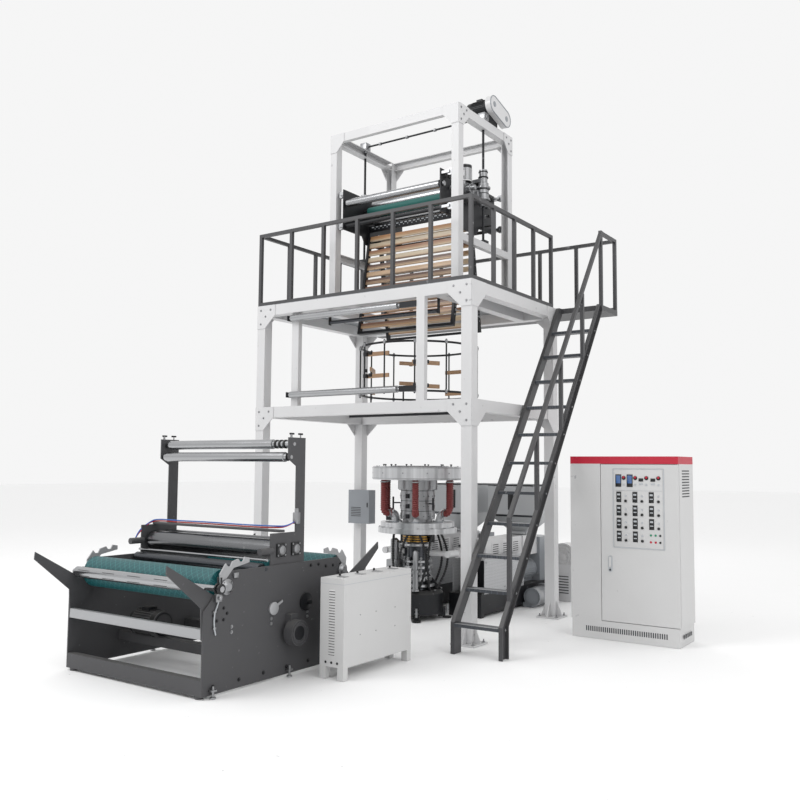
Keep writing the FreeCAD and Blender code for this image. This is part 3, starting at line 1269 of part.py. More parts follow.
for side, x in (("left", "winder_left + 60"), ("right", "winder_right - 60")):
    for end, y in (("front", f"{WINDER_FRONT} + floor_beam_deep / 2"), ("back", f"{WINDER_BACK} - floor_beam_deep / 2")):
        beams.append(rod(f"level_foot_{side}_{end}", "Z", x, y, "0", "level_foot_radius", "level_foot_tall"))
keep("winder_beams", together("winder_beams", *beams))

# Reel arms at both ends of the winder
ARM_ROOT_Y = f"({WINDER_FRONT} + 190)"
ARM_ROOT_Z = "(winder_shoulder_z + 62)"
ARM_TIP_Y = f"({WINDER_FRONT} - arm_reach + 5)"
arm_front = [(ARM_ROOT_Y, ARM_ROOT_Z), (ARM_TIP_Y, "arm_tip_z"), (f"{ARM_TIP_Y} - 5", "arm_tip_z - 60"),
             (f"{WINDER_FRONT} - 11", "winder_shoulder_z + 28"), (WINDER_FRONT, "winder_shoulder_z - 210"),
             (f"{WINDER_FRONT} + 90", "winder_shoulder_z - 140"), (ARM_ROOT_Y, "winder_shoulder_z - 40")]
arm_back = [(f"2 * winder_centre_y - ({across})", along) for across, along in arm_front]
reel_arms = []
for side, x in (("left", inside_left), ("right", f"{inside_right} - arm_plate")):
    reel_arms.append(prism(f"reel_arm_{side}_front", "YZ", arm_front, "arm_plate", x))
    reel_arms.append(prism(f"reel_arm_{side}_back", "YZ", arm_back, "arm_plate", x))
keep("reel_arms", together("reel_arms", *reel_arms))

# Masts with the nip bearings at their foot and the guide roller blocks at their head
MAST_BACK = "head_back_y"
mast_outline = [("head_front_y", "head_bottom_z"), (MAST_BACK, "head_bottom_z"), (MAST_BACK, "mast_top_z"),
                (f"{MAST_BACK} - mast_block_deep", "mast_top_z"),
                (f"{MAST_BACK} - mast_block_deep", "mast_top_z - mast_block_tall"),
                (f"{MAST_BACK} - mast_wide", "mast_top_z - mast_block_tall - 60"),
                (f"{MAST_BACK} - mast_wide", "head_top_z"), ("head_front_y", "head_top_z")]
mast_bores = [("nip_front", "winder_nip_front_y", "winder_nip_z"), ("nip_back", "winder_nip_back_y", "winder_nip_z"),
              ("top", "top_roll_y", "top_roll_z"), ("under", "under_roll_y", "under_roll_z")]
masts = []
for side, x, bearing_x in (("left", inside_left, f"{inside_left} - bearing_thick"),
                           ("right", f"{inside_right} - arm_plate", inside_right)):
    plate = prism(f"mast_{side}_plate", "YZ", mast_outline, "arm_plate", x)
    cylinder = rod(f"mast_{side}_cylinder", "Y", f"{x} + arm_plate / 2", "head_front_y - cylinder_long",
                   "winder_nip_z", "cylinder_radius", "cylinder_long + cylinder_grip")
    bearings = [rod(f"mast_{side}_bearing_{name}", "X", bearing_x, y, z, "bearing_radius", "bearing_thick")
                for name, y, z in mast_bores[:2]]
    low_x = bearing_x if side == "left" else x
    bores = [rod(f"mast_{side}_bore_{name}", "X", f"{low_x} - 1", y, z, "shaft_radius + shaft_clear",
                 "arm_plate + bearing_thick + 2")
             for name, y, z in mast_bores]
    masts.append(cut("mast_" + side, fuse(f"mast_{side}_whole", plate, cylinder, *bearings),
                     together(f"mast_{side}_bores", *bores)))
keep("winder_masts", together("winder_masts", *masts))

# Notched levers on the shoulders that steady a reel on its drum
SHOULDER_SLOPE = "((winder_top_z - winder_shoulder_z) / (winder_half_deep - winder_half_top))"
lever_front = [(f"{WINDER_FRONT} + lever_foot", f"winder_shoulder_z + lever_foot * {SHOULDER_SLOPE}"),
               (f"{WINDER_FRONT} + lever_heel", f"winder_shoulder_z + lever_heel * {SHOULDER_SLOPE}"),
               (f"{WINDER_FRONT} + 300", "winder_top_z + 20"), (f"{WINDER_FRONT} + lever_reach", "winder_top_z + 50"),
               (f"{WINDER_FRONT} + lever_reach", "winder_top_z + 85"), (f"{WINDER_FRONT} + 420", "winder_top_z + 95"),
               (f"{WINDER_FRONT} + 400", "winder_top_z + 60"), (f"{WINDER_FRONT} + 370", "winder_top_z + 60"),
               (f"{WINDER_FRONT} + 350", "winder_top_z + 85"), (f"{WINDER_FRONT} + 290", "winder_top_z + 70"),
               (f"{WINDER_FRONT} + 270", "winder_top_z + 35"), (f"{WINDER_FRONT} + 240", "winder_top_z + 35"),
               (f"{WINDER_FRONT} + 220", "winder_top_z + 60"), (f"{WINDER_FRONT} + 160", "winder_top_z - 15")]
lever_back = [(f"2 * winder_centre_y - ({across})", along) for across, along in lever_front]
levers = []
for side, x in (("left", "winder_left"), ("right", inside_right)):
    levers.append(prism(f"lever_{side}_front", "YZ", lever_front, "winder_plate", x))
    levers.append(prism(f"lever_{side}_back", "YZ", lever_back, "winder_plate", x))
keep("drum_levers", together("drum_levers", *levers))

# Winder rollers
FACE_LEFT = f"({inside_left} + drum_end_gap)"
FACE_RIGHT = f"({inside_right} - drum_end_gap)"
for name, y in (("winding_drum_front", DRUM_FRONT_Y), ("winding_drum_back", DRUM_BACK_Y)):
    roller(name, FACE_LEFT, FACE_RIGHT, y, "drum_z", "drum_radius", "drum_shaft", "drum_end_gap + winder_plate")
roller("spreader_roller", FACE_LEFT, FACE_RIGHT, "spread_roll_y", "spread_roll_z", "spread_roll_radius",
       "shaft_radius", "drum_end_gap + winder_plate")
for name, y, z, radius, stub in (
        ("winder_nip_front", "winder_nip_front_y", "winder_nip_z", "winder_nip_radius", "drum_end_gap + bearing_thick"),
        ("winder_nip_back", "winder_nip_back_y", "winder_nip_z", "winder_nip_radius", "drum_end_gap + bearing_thick"),
        ("mast_roller_high", "top_roll_y", "top_roll_z", "top_roll_radius", "drum_end_gap"),
        ("mast_roller_low", "under_roll_y", "under_roll_z", "under_roll_radius", "drum_end_gap")):
    roller(name, FACE_LEFT, FACE_RIGHT, y, z, radius, "shaft_radius", stub)
ARM_SLOPE = f"((arm_tip_z - {ARM_ROOT_Z}) / ({ARM_ROOT_Y} - {ARM_TIP_Y}))"
REEL_Z = (f"({ARM_ROOT_Z} + ({ARM_ROOT_Y} - {REEL_Y}) * {ARM_SLOPE}"
          f" + (reel_shaft + shaft_clear) * sqrt(1 + {ARM_SLOPE}^2))")
reel_face = rod("reel_face", "X", "winder_left + 60", REEL_Y, REEL_Z, "reel_radius",
                "winder_right - winder_left - 280")
reel_axle = rod("reel_axle", "X", "winder_left + winder_plate + 2", REEL_Y, REEL_Z, "reel_shaft",
                "winder_right - winder_left + 140")
keep("reel_shaft", fuse("reel_shaft", reel_face, reel_axle))

# Geared motors on the shelf and the fan outside the right plate
motors = []
for number, (x, y) in enumerate((("-700", "winder_centre_y - 400"), ("-150", "winder_centre_y + 380")), start=1):
    motors.append(rod(f"winder_motor{number}", "X", x, y, "motor_shelf_z + winder_motor_radius",
                      "winder_motor_radius", "winder_motor_long"))
fan_case = rod("fan_case", "X", "winder_right + 40", "fan_y", "fan_z", "fan_radius", "fan_thick")
fan_neck = box("fan_neck", "winder_right", "fan_y - 40", "fan_z", "60", "80", "fan_radius + 40")
keep("winder_drives", together("winder_drives", *motors, fuse("winder_fan", fan_case, fan_neck)))

# Control cabinet with its plinth, cap and hinged door
DOOR_LEFT = "(cabinet_left + fixed_panel_wide)"
CABINET_RIGHT = "(cabinet_left + cabinet_wide)"
BODY_FRONT = "(cabinet_front + door_thick + 3 * door_gap)"
BAND_LOW = "(cabinet_top - cabinet_band)"
wall = "20"
shell = box("cabinet_shell", "cabinet_left", BODY_FRONT, "plinth_top", "cabinet_wide",
            f"{CABINET_BACK} - {BODY_FRONT}", f"{BAND_LOW} - plinth_top")
cavity = box("cabinet_cavity", f"{DOOR_LEFT} + {wall}", f"{BODY_FRONT} - 1", f"plinth_top + {wall}",
             f"{CABINET_RIGHT} - {DOOR_LEFT} - 2 * {wall}", f"{CABINET_BACK} - {BODY_FRONT} - {wall}",
             f"{BAND_LOW} - plinth_top - 2 * {wall}")
panel = box("cabinet_panel", "cabinet_left", "cabinet_front", "plinth_top", "fixed_panel_wide - 2 * door_gap",
            f"{BODY_FRONT} - cabinet_front", f"{BAND_LOW} - plinth_top")
HINGE_X = f"({CABINET_RIGHT} - hinge_radius)"
HINGE_Y = "(cabinet_front + door_thick / 2)"
pin_reach = "2 * door_gap"
cap = box("cabinet_cap_block", "cabinet_left", "cabinet_front", BAND_LOW, "cabinet_wide", "cabinet_deep",
          "cabinet_band")
cap_hole = rod("cabinet_cap_hole", "Z", HINGE_X, HINGE_Y, f"{BAND_LOW} - 1", "hinge_radius / 2 + shaft_clear", "20")
keep("cabinet_cap", cut("cabinet_cap", cap, cap_hole))
plinth = box("cabinet_plinth_block", "cabinet_left + plinth_inset", "cabinet_front", "0",
             "cabinet_wide - 2 * plinth_inset", "cabinet_deep - plinth_inset", "plinth_top")
plinth_hole = rod("cabinet_plinth_hole", "Z", HINGE_X, HINGE_Y, "plinth_top - 19", "hinge_radius / 2 + shaft_clear",
                  "20")
keep("control_cabinet", fuse("control_cabinet", cut("cabinet_case", shell, cavity), panel,
                             cut("cabinet_plinth", plinth, plinth_hole)))
door_panel = box("door_panel", DOOR_LEFT, "cabinet_front", "plinth_top + 2 * door_gap",
                 f"{CABINET_RIGHT} - {DOOR_LEFT}", "door_thick", f"{BAND_LOW} - plinth_top - 4 * door_gap")
door_pin = rod("door_pin", "Z", HINGE_X, HINGE_Y, "plinth_top + shaft_clear", "hinge_radius / 2",
               f"{BAND_LOW} - plinth_top + 10")
keep("control_door", fuse("control_door", door_panel, door_pin))

# Small supply cabinet on four legs
supply = box("supply_box", "supply_left", "supply_front", "supply_bottom", "supply_wide", "supply_deep",
             "supply_top - supply_bottom")
legs = [box(f"supply_leg{number}", x, y, "0", "supply_leg", "supply_leg", "supply_bottom")
        for number, (x, y) in enumerate((("supply_left", "supply_front"),
                                         ("supply_left + supply_wide - supply_leg", "supply_front"),
                                         ("supply_left", "supply_front + supply_deep - supply_leg"),
                                         ("supply_left + supply_wide - supply_leg",
                                          "supply_front + supply_deep - supply_leg")), start=1)]
keep("supply_cabinet", fuse("supply_cabinet", supply, *legs))

# Check every object, then write one file for each sub-part
doc.recompute()
faulty = [item.Name for item in doc.Objects if "Invalid" in item.State or "Error" in item.State]
if faulty:
    raise RuntimeError(f"objects that failed: {faulty}")
os.makedirs("parts", exist_ok=True)
for item in EXPORTS:
    shape = item.Shape
    if shape.isNull() or not shape.isValid() or not shape.Solids:
        raise RuntimeError(f"{item.Label} has no valid shape")
for item in EXPORTS:
    item.Shape.exportStep(f"parts/{item.Label}.step")
    print(item.Label, len(item.Shape.Solids), round(item.Shape.Volume / 1e6, 2))
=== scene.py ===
"""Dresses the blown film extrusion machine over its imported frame, in metres."""

import logging
import math
from dataclasses import dataclass, field
from enum import Enum
from typing import Any, Iterable, Sequence, Union

import bmesh
import bpy
from mathutils import Matrix, Vector


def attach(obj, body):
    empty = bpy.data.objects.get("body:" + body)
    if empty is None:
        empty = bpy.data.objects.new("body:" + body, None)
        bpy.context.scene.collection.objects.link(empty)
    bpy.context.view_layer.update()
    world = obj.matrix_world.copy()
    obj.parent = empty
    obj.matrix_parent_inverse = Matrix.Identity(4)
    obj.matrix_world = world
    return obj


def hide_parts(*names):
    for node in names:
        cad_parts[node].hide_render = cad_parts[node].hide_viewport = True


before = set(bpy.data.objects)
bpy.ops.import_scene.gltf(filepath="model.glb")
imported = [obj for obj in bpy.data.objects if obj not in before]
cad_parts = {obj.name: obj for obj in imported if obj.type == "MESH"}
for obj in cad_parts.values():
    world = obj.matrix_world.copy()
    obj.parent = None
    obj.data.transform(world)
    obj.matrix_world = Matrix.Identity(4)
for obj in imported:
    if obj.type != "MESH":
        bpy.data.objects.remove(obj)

Point = tuple[float, float, float]
Colour = tuple[float, float, float]
Floats = tuple[float, ...]
Pair = tuple[float, float]
Pairs = tuple[Pair, ...]
Wire = Union[bpy.types.NodeSocket, float]

LOG = logging.getLogger("film_line")
CREASE = math.radians(38.0)
X_AXIS: Point = (1.0, 0.0, 0.0)
Y_AXIS: Point = (0.0, 1.0, 0.0)
Z_AXIS: Point = (0.0, 0.0, 1.0)
MINUS_X: Point = (-1.0, 0.0, 0.0)
MINUS_Y: Point = (0.0, -1.0, 0.0)
CORNERS = ((-1, -1), (1, -1), (1, 1), (-1, 1))
BUMP_STRENGTH, GLOSS_SPREAD, DUST_DULLING = 0.6, 0.16, 0.3


def shade(red: int, green: int, blue: int) -> Colour:
    """Turns a paint chart colour, 0 to 255, into linear light.

    Args:
        red: The red share.
        green: The green share.
        blue: The blue share.

    Returns:
        The three linear shares.
    """
    return tuple((part / 255.0) ** 2.2 for part in (red, green, blue))


def spokes(count: int, skip: float = 0.0) -> list[Pair]:
    """Gives the cosine and sine of equal steps round a circle, begun some steps on."""
    turns = [math.tau * (step + skip) / count for step in range(count)]
    return [(math.cos(turn), math.sin(turn)) for turn in turns]


class Wiring:
    """Places and links the nodes of one tree."""

    def __init__(self, tree: bpy.types.NodeTree) -> None:
        """Keeps the tree that it works on."""
        self.tree = tree

    def node(self, kind: str, **settings: Any) -> bpy.types.Node:
        """Adds one node.

        Args:
            kind: Blender's name of the node type.
            **settings: The attributes to set on it.

        Returns:
            The new node.
        """
        made = self.tree.nodes.new(kind)
        for key, value in settings.items():
            setattr(made, key, value)
        return made

    def feed(self, value: Any, socket: bpy.types.NodeSocket) -> None:
        """Links a socket, or sets a plain value on it."""
        if isinstance(value, bpy.types.NodeSocket):
            self.tree.links.new(value, socket)
        else:
            socket.default_value = value

    def math(self, how: str, *values: Wire, clamp: bool = False) -> bpy.types.NodeSocket:
        """Adds one sum.

        Args:
            how: The operation.
            *values: Its one to three values or sockets.
            clamp: Whether the result stays from 0 to 1.

        Returns:
            The result's socket.
        """
        made = self.node("ShaderNodeMath", operation=how, use_clamp=clamp)
        for value, socket in zip(values, made.inputs):
            self.feed(value, socket)
        return made.outputs[0]

    def vector(self, how: str, first: Any, second: Any = None, out: str = "Vector") -> bpy.types.NodeSocket:
        """Adds one vector sum and gives its named output."""
        made = self.node("ShaderNodeVectorMath", operation=how)
        self.feed(first, made.inputs[0])
        if second is not None:
            self.feed(second, made.inputs["Scale"] if how == "SCALE" else made.inputs[1])
        return made.outputs[out]

    def mix(self, share: Wire, first: Any, second: Any) -> bpy.types.NodeSocket:
        """Mixes two colours by a share and gives the result's socket."""
        made = self.node("ShaderNodeMix", data_type="RGBA")
        for value, socket in zip((share, first, second), (made.inputs[0], made.inputs[6], made.inputs[7])):
            self.feed(value, socket)
        return made.outputs[2]

    def place(self) -> bpy.types.NodeSocket:
        """Gives the surface's own place, in metres."""
        return self.node("ShaderNodeTexCoord").outputs["Object"]

    def noise(self, place: bpy.types.NodeSocket, scale: Wire, detail: float = 3.0) -> bpy.types.NodeSocket:
        """Gives a soft noise, 0 to 1, over a place."""
        made = self.node("ShaderNodeTexNoise")
        self.feed(place, made.inputs["Vector"])
        self.feed(scale, made.inputs["Scale"])
        made.inputs["Detail"].default_value = detail
        return made.outputs[0]

    def use(self, effect: "Effect", **values: Any) -> bpy.types.Node:
        """Places a shared effect with this material's own values.

        Args:
            effect: The effect's class instance.
            **values: Its inputs by name, underscores for spaces.

        Returns:
            The group's node.
        """
        made = self.node("ShaderNodeGroup", node_tree=effect.tree())
        for key, value in values.items():
            self.feed(value, made.inputs[key.replace("_", " ")])
        return made


COLOUR, VALUE, VECTOR = "NodeSocketColor", "NodeSocketFloat", "NodeSocketVector"


class Effect:
    """One shader node group that several materials share."""

    label: str = ""
    takes: Sequence[tuple[str, str]] = ()
    gives: Sequence[tuple[str, str]] = ()

    def tree(self) -> bpy.types.NodeTree:
        """Gives the group, made on its first use.

        Returns:
            The node group.
        """
        known = bpy.data.node_groups.get(self.label)
        if known:
            return known
        made = bpy.data.node_groups.new(self.label, "ShaderNodeTree")
        for name, kind in self.takes:
            made.interface.new_socket(name, in_out="INPUT", socket_type=kind)
        for name, kind in self.gives:
            made.interface.new_socket(name, in_out="OUTPUT", socket_type=kind)
        wiring = Wiring(made)
        start, end = wiring.node("NodeGroupInput"), wiring.node("NodeGroupOutput")
        for name, value in self.wire(wiring, start.outputs).items():
            wiring.feed(value, end.inputs[name])
        return made

    def wire(self, wiring: Wiring, given: Any) -> dict[str, Any]:
        """Builds the inside of the group.

        Args:
            wiring: The group's wiring.
            given: The group's inputs.

        Returns:
            The outputs by name.
        """
        raise NotImplementedError


class Mottle(Effect):
    """Slow and fine unevenness of a coat of paint or a casting."""

    label = "paint_mottle"
    takes = (("Colour", COLOUR), ("Scale", VALUE), ("Depth", VALUE))
    gives = (("Colour", COLOUR), ("Spread", VALUE), ("Height", VALUE))
    finer = 28.0

    def wire(self, wiring: Wiring, given: Any) -> dict[str, Any]:
        """Scales the colour by a soft noise and gives a finer one as height."""
        place = wiring.place()
        slow = wiring.noise(place, given["Scale"], 5.0)
        fine = wiring.noise(place, wiring.math("MULTIPLY", given["Scale"], self.finer), 2.0)
        swing = wiring.math("MULTIPLY", wiring.math("SUBTRACT", slow, 0.5), given["Depth"])
        gain = wiring.math("MULTIPLY_ADD", swing, 2.0, 1.0)
        return {"Colour": wiring.vector("SCALE", given["Colour"], gain), "Spread": slow, "Height": fine}


class Dust(Effect):
    """Pale workshop dust that settles on what faces up."""

    label = "settled_dust"
    takes = (("Colour", COLOUR), ("Dust", COLOUR), ("Amount", VALUE))
    least_facing, patch_scale = 0.25, 7.0
    gives = (("Colour", COLOUR), ("Mask", VALUE))

    def wire(self, wiring: Wiring, given: Any) -> dict[str, Any]:
        """Masks the upward faces by a broken noise."""
        normal = wiring.node("ShaderNodeNewGeometry").outputs["Normal"]
        facing = wiring.vector("DOT_PRODUCT", normal, Z_AXIS, "Value")
        flat = wiring.math("SUBTRACT", facing, self.least_facing, clamp=True)
        patch = wiring.noise(wiring.place(), self.patch_scale, 6.0)
        mask = wiring.math("MULTIPLY", wiring.math("MULTIPLY", flat, patch), given["Amount"], clamp=True)
        return {"Colour": wiring.mix(mask, given["Colour"], given["Dust"]), "Mask": mask}


class Scuffs(Effect):
    """Small rubbed places where the coat is thin."""

    label = "rubbed_scuffs"
    takes = (("Colour", COLOUR), ("Bare", COLOUR), ("Amount", VALUE), ("Scale", VALUE))
    level, reach, hardness = 0.72, -0.22, 14.0
    gives = (("Colour", COLOUR), ("Mask", VALUE))

    def wire(self, wiring: Wiring, given: Any) -> dict[str, Any]:
        """Cuts the peaks of a rough noise out as bare spots."""
        rough = wiring.noise(wiring.place(), given["Scale"], 9.0)
        level = wiring.math("MULTIPLY_ADD", given["Amount"], self.reach, self.level)
        mask = wiring.math("MULTIPLY", wiring.math("SUBTRACT", rough, level), self.hardness, clamp=True)
        return {"Colour": wiring.mix(mask, given["Colour"], given["Bare"]), "Mask": mask}


class Brushing(Effect):
    """Fine parallel lines from a belt or a lathe tool."""

    label = "brushed_lines"
    takes = (("Stretch", VECTOR), ("Low", VALUE), ("High", VALUE))
    gives = (("Value", VALUE), ("Height", VALUE))

    def wire(self, wiring: Wiring, given: Any) -> dict[str, Any]:
        """Stretches a noise along the lines."""
        place = wiring.vector("MULTIPLY", wiring.place(), given["Stretch"])
        line = wiring.noise(place, 1.0, 4.0)
        span = wiring.math("SUBTRACT", given["High"], given["Low"])
        return {"Value": wiring.math("MULTIPLY_ADD", line, span, given["Low"]), "Height": line}


class PaintedReflectionBands(Effect):
    """Painted reflection: upright light and dark bands round a turned rim about the bubble's axis."""

    label = "painted_reflection_bands"
    takes = (("Turns", VALUE), ("Low", VALUE), ("High", VALUE))
    gives = (("Value", VALUE), ("Height", VALUE))

    def wire(self, wiring: Wiring, given: Any) -> dict[str, Any]:
        """Runs a one-way noise round the axis."""
        place = wiring.node("ShaderNodeSeparateXYZ")
        wiring.feed(wiring.place(), place.inputs[0])
        angle = wiring.math("ARCTAN2", place.outputs[1], place.outputs[0])
        round_it = wiring.node("ShaderNodeCombineXYZ")
        wiring.feed(wiring.math("MULTIPLY", angle, given["Turns"]), round_it.inputs[0])
        band = wiring.noise(round_it.outputs[0], 1.0, 2.0)
        span = wiring.math("SUBTRACT", given["High"], given["Low"])
        return {"Value": wiring.math("MULTIPLY_ADD", band, span, given["Low"]), "Height": band}


class Diamonds(Effect):
    """Raised lens shapes of tread plate, each turned across its neighbours."""

    label = "raised_diamonds"
    takes = (("Across", VECTOR), ("Along", VECTOR), ("Pitch", VALUE))
    gives = (("Mask", VALUE),)
    half_long, half_wide, steepness = 0.44, 0.17, 4.0

    def wire(self, wiring: Wiring, given: Any) -> dict[str, Any]:
        """Draws one lens in each cell of a grid, turned by its parity."""
        place = wiring.place()
        inside, whole = [], []
        for way in ("Across", "Along"):
            along = wiring.vector("DOT_PRODUCT", place, given[way], "Value")
            cell = wiring.math("DIVIDE", along, given["Pitch"])
            inside.append(wiring.math("SUBTRACT", wiring.math("FRACT", cell), 0.5))
            whole.append(wiring.math("FLOOR", cell))
        turned = wiring.math("PINGPONG", wiring.math("ADD", *whole), 1.0)
        straight = wiring.math("SUBTRACT", 1.0, turned)
        spread = []
        for first, second in ((0, 1), (1, 0)):
            kept = wiring.math("MULTIPLY", inside[first], straight)
            spread.append(wiring.math("MULTIPLY_ADD", inside[second], turned, kept))
        far = wiring.math("POWER", wiring.math("DIVIDE", spread[0], self.half_long), 2.0)
        near = wiring.math("POWER", wiring.math("DIVIDE", spread[1], self.half_wide), 2.0)
        lens = wiring.math("SUBTRACT", 1.0, wiring.math("ADD", far, near))
        return {"Mask": wiring.math("MULTIPLY", lens, self.steepness, clamp=True)}


class DiamondScore(Effect):
    """Crossed lines scored round a covered drum whose axis runs along X."""

    label = "diamond_score"
    takes = (("Middle", VECTOR), ("Radius", VALUE), ("Pitch", VALUE), ("Width", VALUE))
    gives = (("Mask", VALUE),)

    def wire(self, wiring: Wiring, given: Any) -> dict[str, Any]:
        """Unrolls the drum and draws two sets of slanted lines on it."""
        place = wiring.node("ShaderNodeSeparateXYZ")
        wiring.feed(wiring.vector("SUBTRACT", wiring.place(), given["Middle"]), place.inputs[0])
        angle = wiring.math("ARCTAN2", place.outputs[2], place.outputs[1])
        across = wiring.math("DIVIDE", wiring.math("MULTIPLY", angle, given["Radius"]), given["Pitch"])
        along = wiring.math("DIVIDE", place.outputs[0], given["Pitch"])
        lines = []
        for how in ("ADD", "SUBTRACT"):
            cell = wiring.math("FRACT", wiring.math(how, along, across))
            gap = wiring.math("ABSOLUTE", wiring.math("SUBTRACT", cell, 0.5))
            lines.append(wiring.math("LESS_THAN", gap, given["Width"]))
        return {"Mask": wiring.math("MAXIMUM", *lines)}


class SlatTones(Effect):
    """One tone for each wooden slat, counted down the leaning boards."""

    label = "slat_tones"
    takes = (("Top", VALUE), ("Pitch", VALUE))
    gives = (("Tone", VALUE), ("Grain", VALUE), ("Edge", VALUE))
    board_step, stretch = 31.0, (3.0, 60.0, 90.0)
    edge_from, edge_steepness = 0.25, 16.0

    def wire(self, wiring: Wiring, given: Any) -> dict[str, Any]:
        """Numbers the slats, gives each a chance tone and long grain."""
        place = wiring.node("ShaderNodeSeparateXYZ")
        wiring.feed(wiring.place(), place.inputs[0])
        down = wiring.math("DIVIDE", wiring.math("SUBTRACT", given["Top"], place.outputs[2]), given["Pitch"])
        side = wiring.math("MULTIPLY", wiring.math("SIGN", place.outputs[1]), self.board_step)
        chance = wiring.node("ShaderNodeTexWhiteNoise", noise_dimensions="1D")
        wiring.feed(wiring.math("ADD", wiring.math("FLOOR", down), side), chance.inputs["W"])
        grain = wiring.noise(wiring.vector("MULTIPLY", wiring.place(), self.stretch), 1.0, 5.0)
        inside = wiring.math("ABSOLUTE", wiring.math("SUBTRACT", wiring.math("FRACT", down), 0.5))
        edge = wiring.math("MULTIPLY", wiring.math("SUBTRACT", inside, self.edge_from), self.edge_steepness,
                           clamp=True)
        return {"Tone": chance.outputs["Value"], "Grain": grain, "Edge": edge}


MOTTLE, DUST, SCUFFS, BRUSHING = Mottle(), Dust(), Scuffs(), Brushing()
REFLECTION_BANDS, DIAMONDS, SCORE, SLATS = PaintedReflectionBands(), Diamonds(), DiamondScore(), SlatTones()


class Grain(Enum):
    """Which way the lines of a worked metal run."""

    NONE = None
    ALONG_X = (2.0, 260.0, 260.0)
    ALONG_Z = (260.0, 260.0, 2.0)


@dataclass(frozen=True)
class Finish:
    """One paint, metal or rubber, with its own grain, dust and wear."""

    name: str
    slot: str
    colour: Colour
    roughness: float = 0.5
    metallic: float = 0.0
    grain: Grain = Grain.NONE
    mottle: float = 0.05
    scale: float = 3.0
    relief: float = 0.0006
    dust: float = 0.25
    dust_colour: Colour = (0.42, 0.40, 0.36)
    scuff: float = 0.12
    bare: Colour = (0.35, 0.35, 0.36)
    coat: float = 0.0

    def material(self) -> bpy.types.Material:
        """Gives the material, made on its first use.

        Returns:
            The material.
        """
        known = bpy.data.materials.get(self.name)
        if known:
            return known
        made = bpy.data.materials.new(self.name)
        made.use_nodes = True
        made.diffuse_color = (*self.colour, 1.0)
        wiring = Wiring(made.node_tree)
        shader = made.node_tree.nodes["Principled BSDF"]
        shader.inputs["Metallic"].default_value = self.metallic
        shader.inputs["Coat Weight"].default_value = self.coat
        colour, rough, height = self.surface(wiring)
        wiring.feed(colour, shader.inputs["Base Color"])
        wiring.feed(rough, shader.inputs["Roughness"])
        bump = wiring.node("ShaderNodeBump")
        bump.inputs["Strength"].default_value = BUMP_STRENGTH
        bump.inputs["Distance"].default_value = self.relief
        wiring.feed(height, bump.inputs["Height"])
        wiring.feed(bump.outputs["Normal"], shader.inputs["Normal"])
        return made

    def coated(self, wiring: Wiring, colour: Any) -> tuple[Any, Any, Any]:
        """Lays mottle, scuffs and dust over a colour.

        Args:
            wiring: The material's wiring.
            colour: The clean colour or its socket.

        Returns:
            The colour, roughness and height sockets.
        """
        paint = colour if isinstance(colour, bpy.types.NodeSocket) else (*colour, 1.0)
        mottled = wiring.use(MOTTLE, Colour=paint, Scale=self.scale, Depth=self.mottle)
        rubbed = wiring.use(SCUFFS, Colour=mottled.outputs["Colour"], Bare=(*self.bare, 1.0),
                            Amount=self.scuff, Scale=self.scale * 4.0)
        dusty = wiring.use(DUST, Colour=rubbed.outputs["Colour"], Dust=(*self.dust_colour, 1.0),
                           Amount=self.dust)
        rough = wiring.math("MULTIPLY_ADD", mottled.outputs["Spread"], GLOSS_SPREAD,
                            self.roughness - GLOSS_SPREAD / 2.0)
        rough = wiring.math("MULTIPLY_ADD", dusty.outputs["Mask"], DUST_DULLING, rough, clamp=True)
        return dusty.outputs["Colour"], rough, mottled.outputs["Height"]

    def surface(self, wiring: Wiring) -> tuple[Any, Any, Any]:
        """Gives the colour, roughness and height of the finish."""
        if self.grain is Grain.NONE:
            return self.coated(wiring, self.colour)
        lines = wiring.use(BRUSHING, Stretch=self.grain.value, Low=0.82, High=1.14)
        tinted = wiring.vector("SCALE", (*self.colour,), lines.outputs["Value"])
        colour, rough, _ = self.coated(wiring, tinted)
        return colour, wiring.math("MULTIPLY", rough, lines.outputs["Value"]), lines.outputs["Height"]


@dataclass(frozen=True)
class TreadFinish(Finish):
    """Metal sheet with raised diamonds."""

    across: Point = X_AXIS
    along: Point = Y_AXIS
    pitch: float = 0.034
    brighter: float = 1.55
    glossier: float = -0.12

    def surface(self, wiring: Wiring) -> tuple[Any, Any, Any]:
        """Adds bright raised lenses to the sheet."""
        lens = wiring.use(DIAMONDS, Across=self.across, Along=self.along, Pitch=self.pitch).outputs["Mask"]
        bright = tuple(min(1.0, part * self.brighter) for part in self.colour)
        colour, rough, _ = self.coated(wiring, wiring.mix(lens, (*self.colour, 1.0), (*bright, 1.0)))
        return colour, wiring.math("MULTIPLY_ADD", lens, self.glossier, rough, clamp=True), lens


@dataclass(frozen=True)
class TurnedFinish(Finish):
    """Turned metal round the bubble's axis, with painted reflection bands in its colour."""

    turns: float = 9.0
    # The painted reflection bands scale the colour between these two shares.
    darkest_reflection: float = 0.42
    brightest_reflection: float = 1.28

    def surface(self, wiring: Wiring) -> tuple[Any, Any, Any]:
        """Runs painted light and dark reflection bands round the rim."""
        bands = wiring.use(REFLECTION_BANDS, Turns=self.turns, Low=self.darkest_reflection, High=self.brightest_reflection)
        tinted = wiring.vector("SCALE", (*self.colour,), bands.outputs["Value"])
        colour, rough, _ = self.coated(wiring, tinted)
        return colour, rough, bands.outputs["Height"]


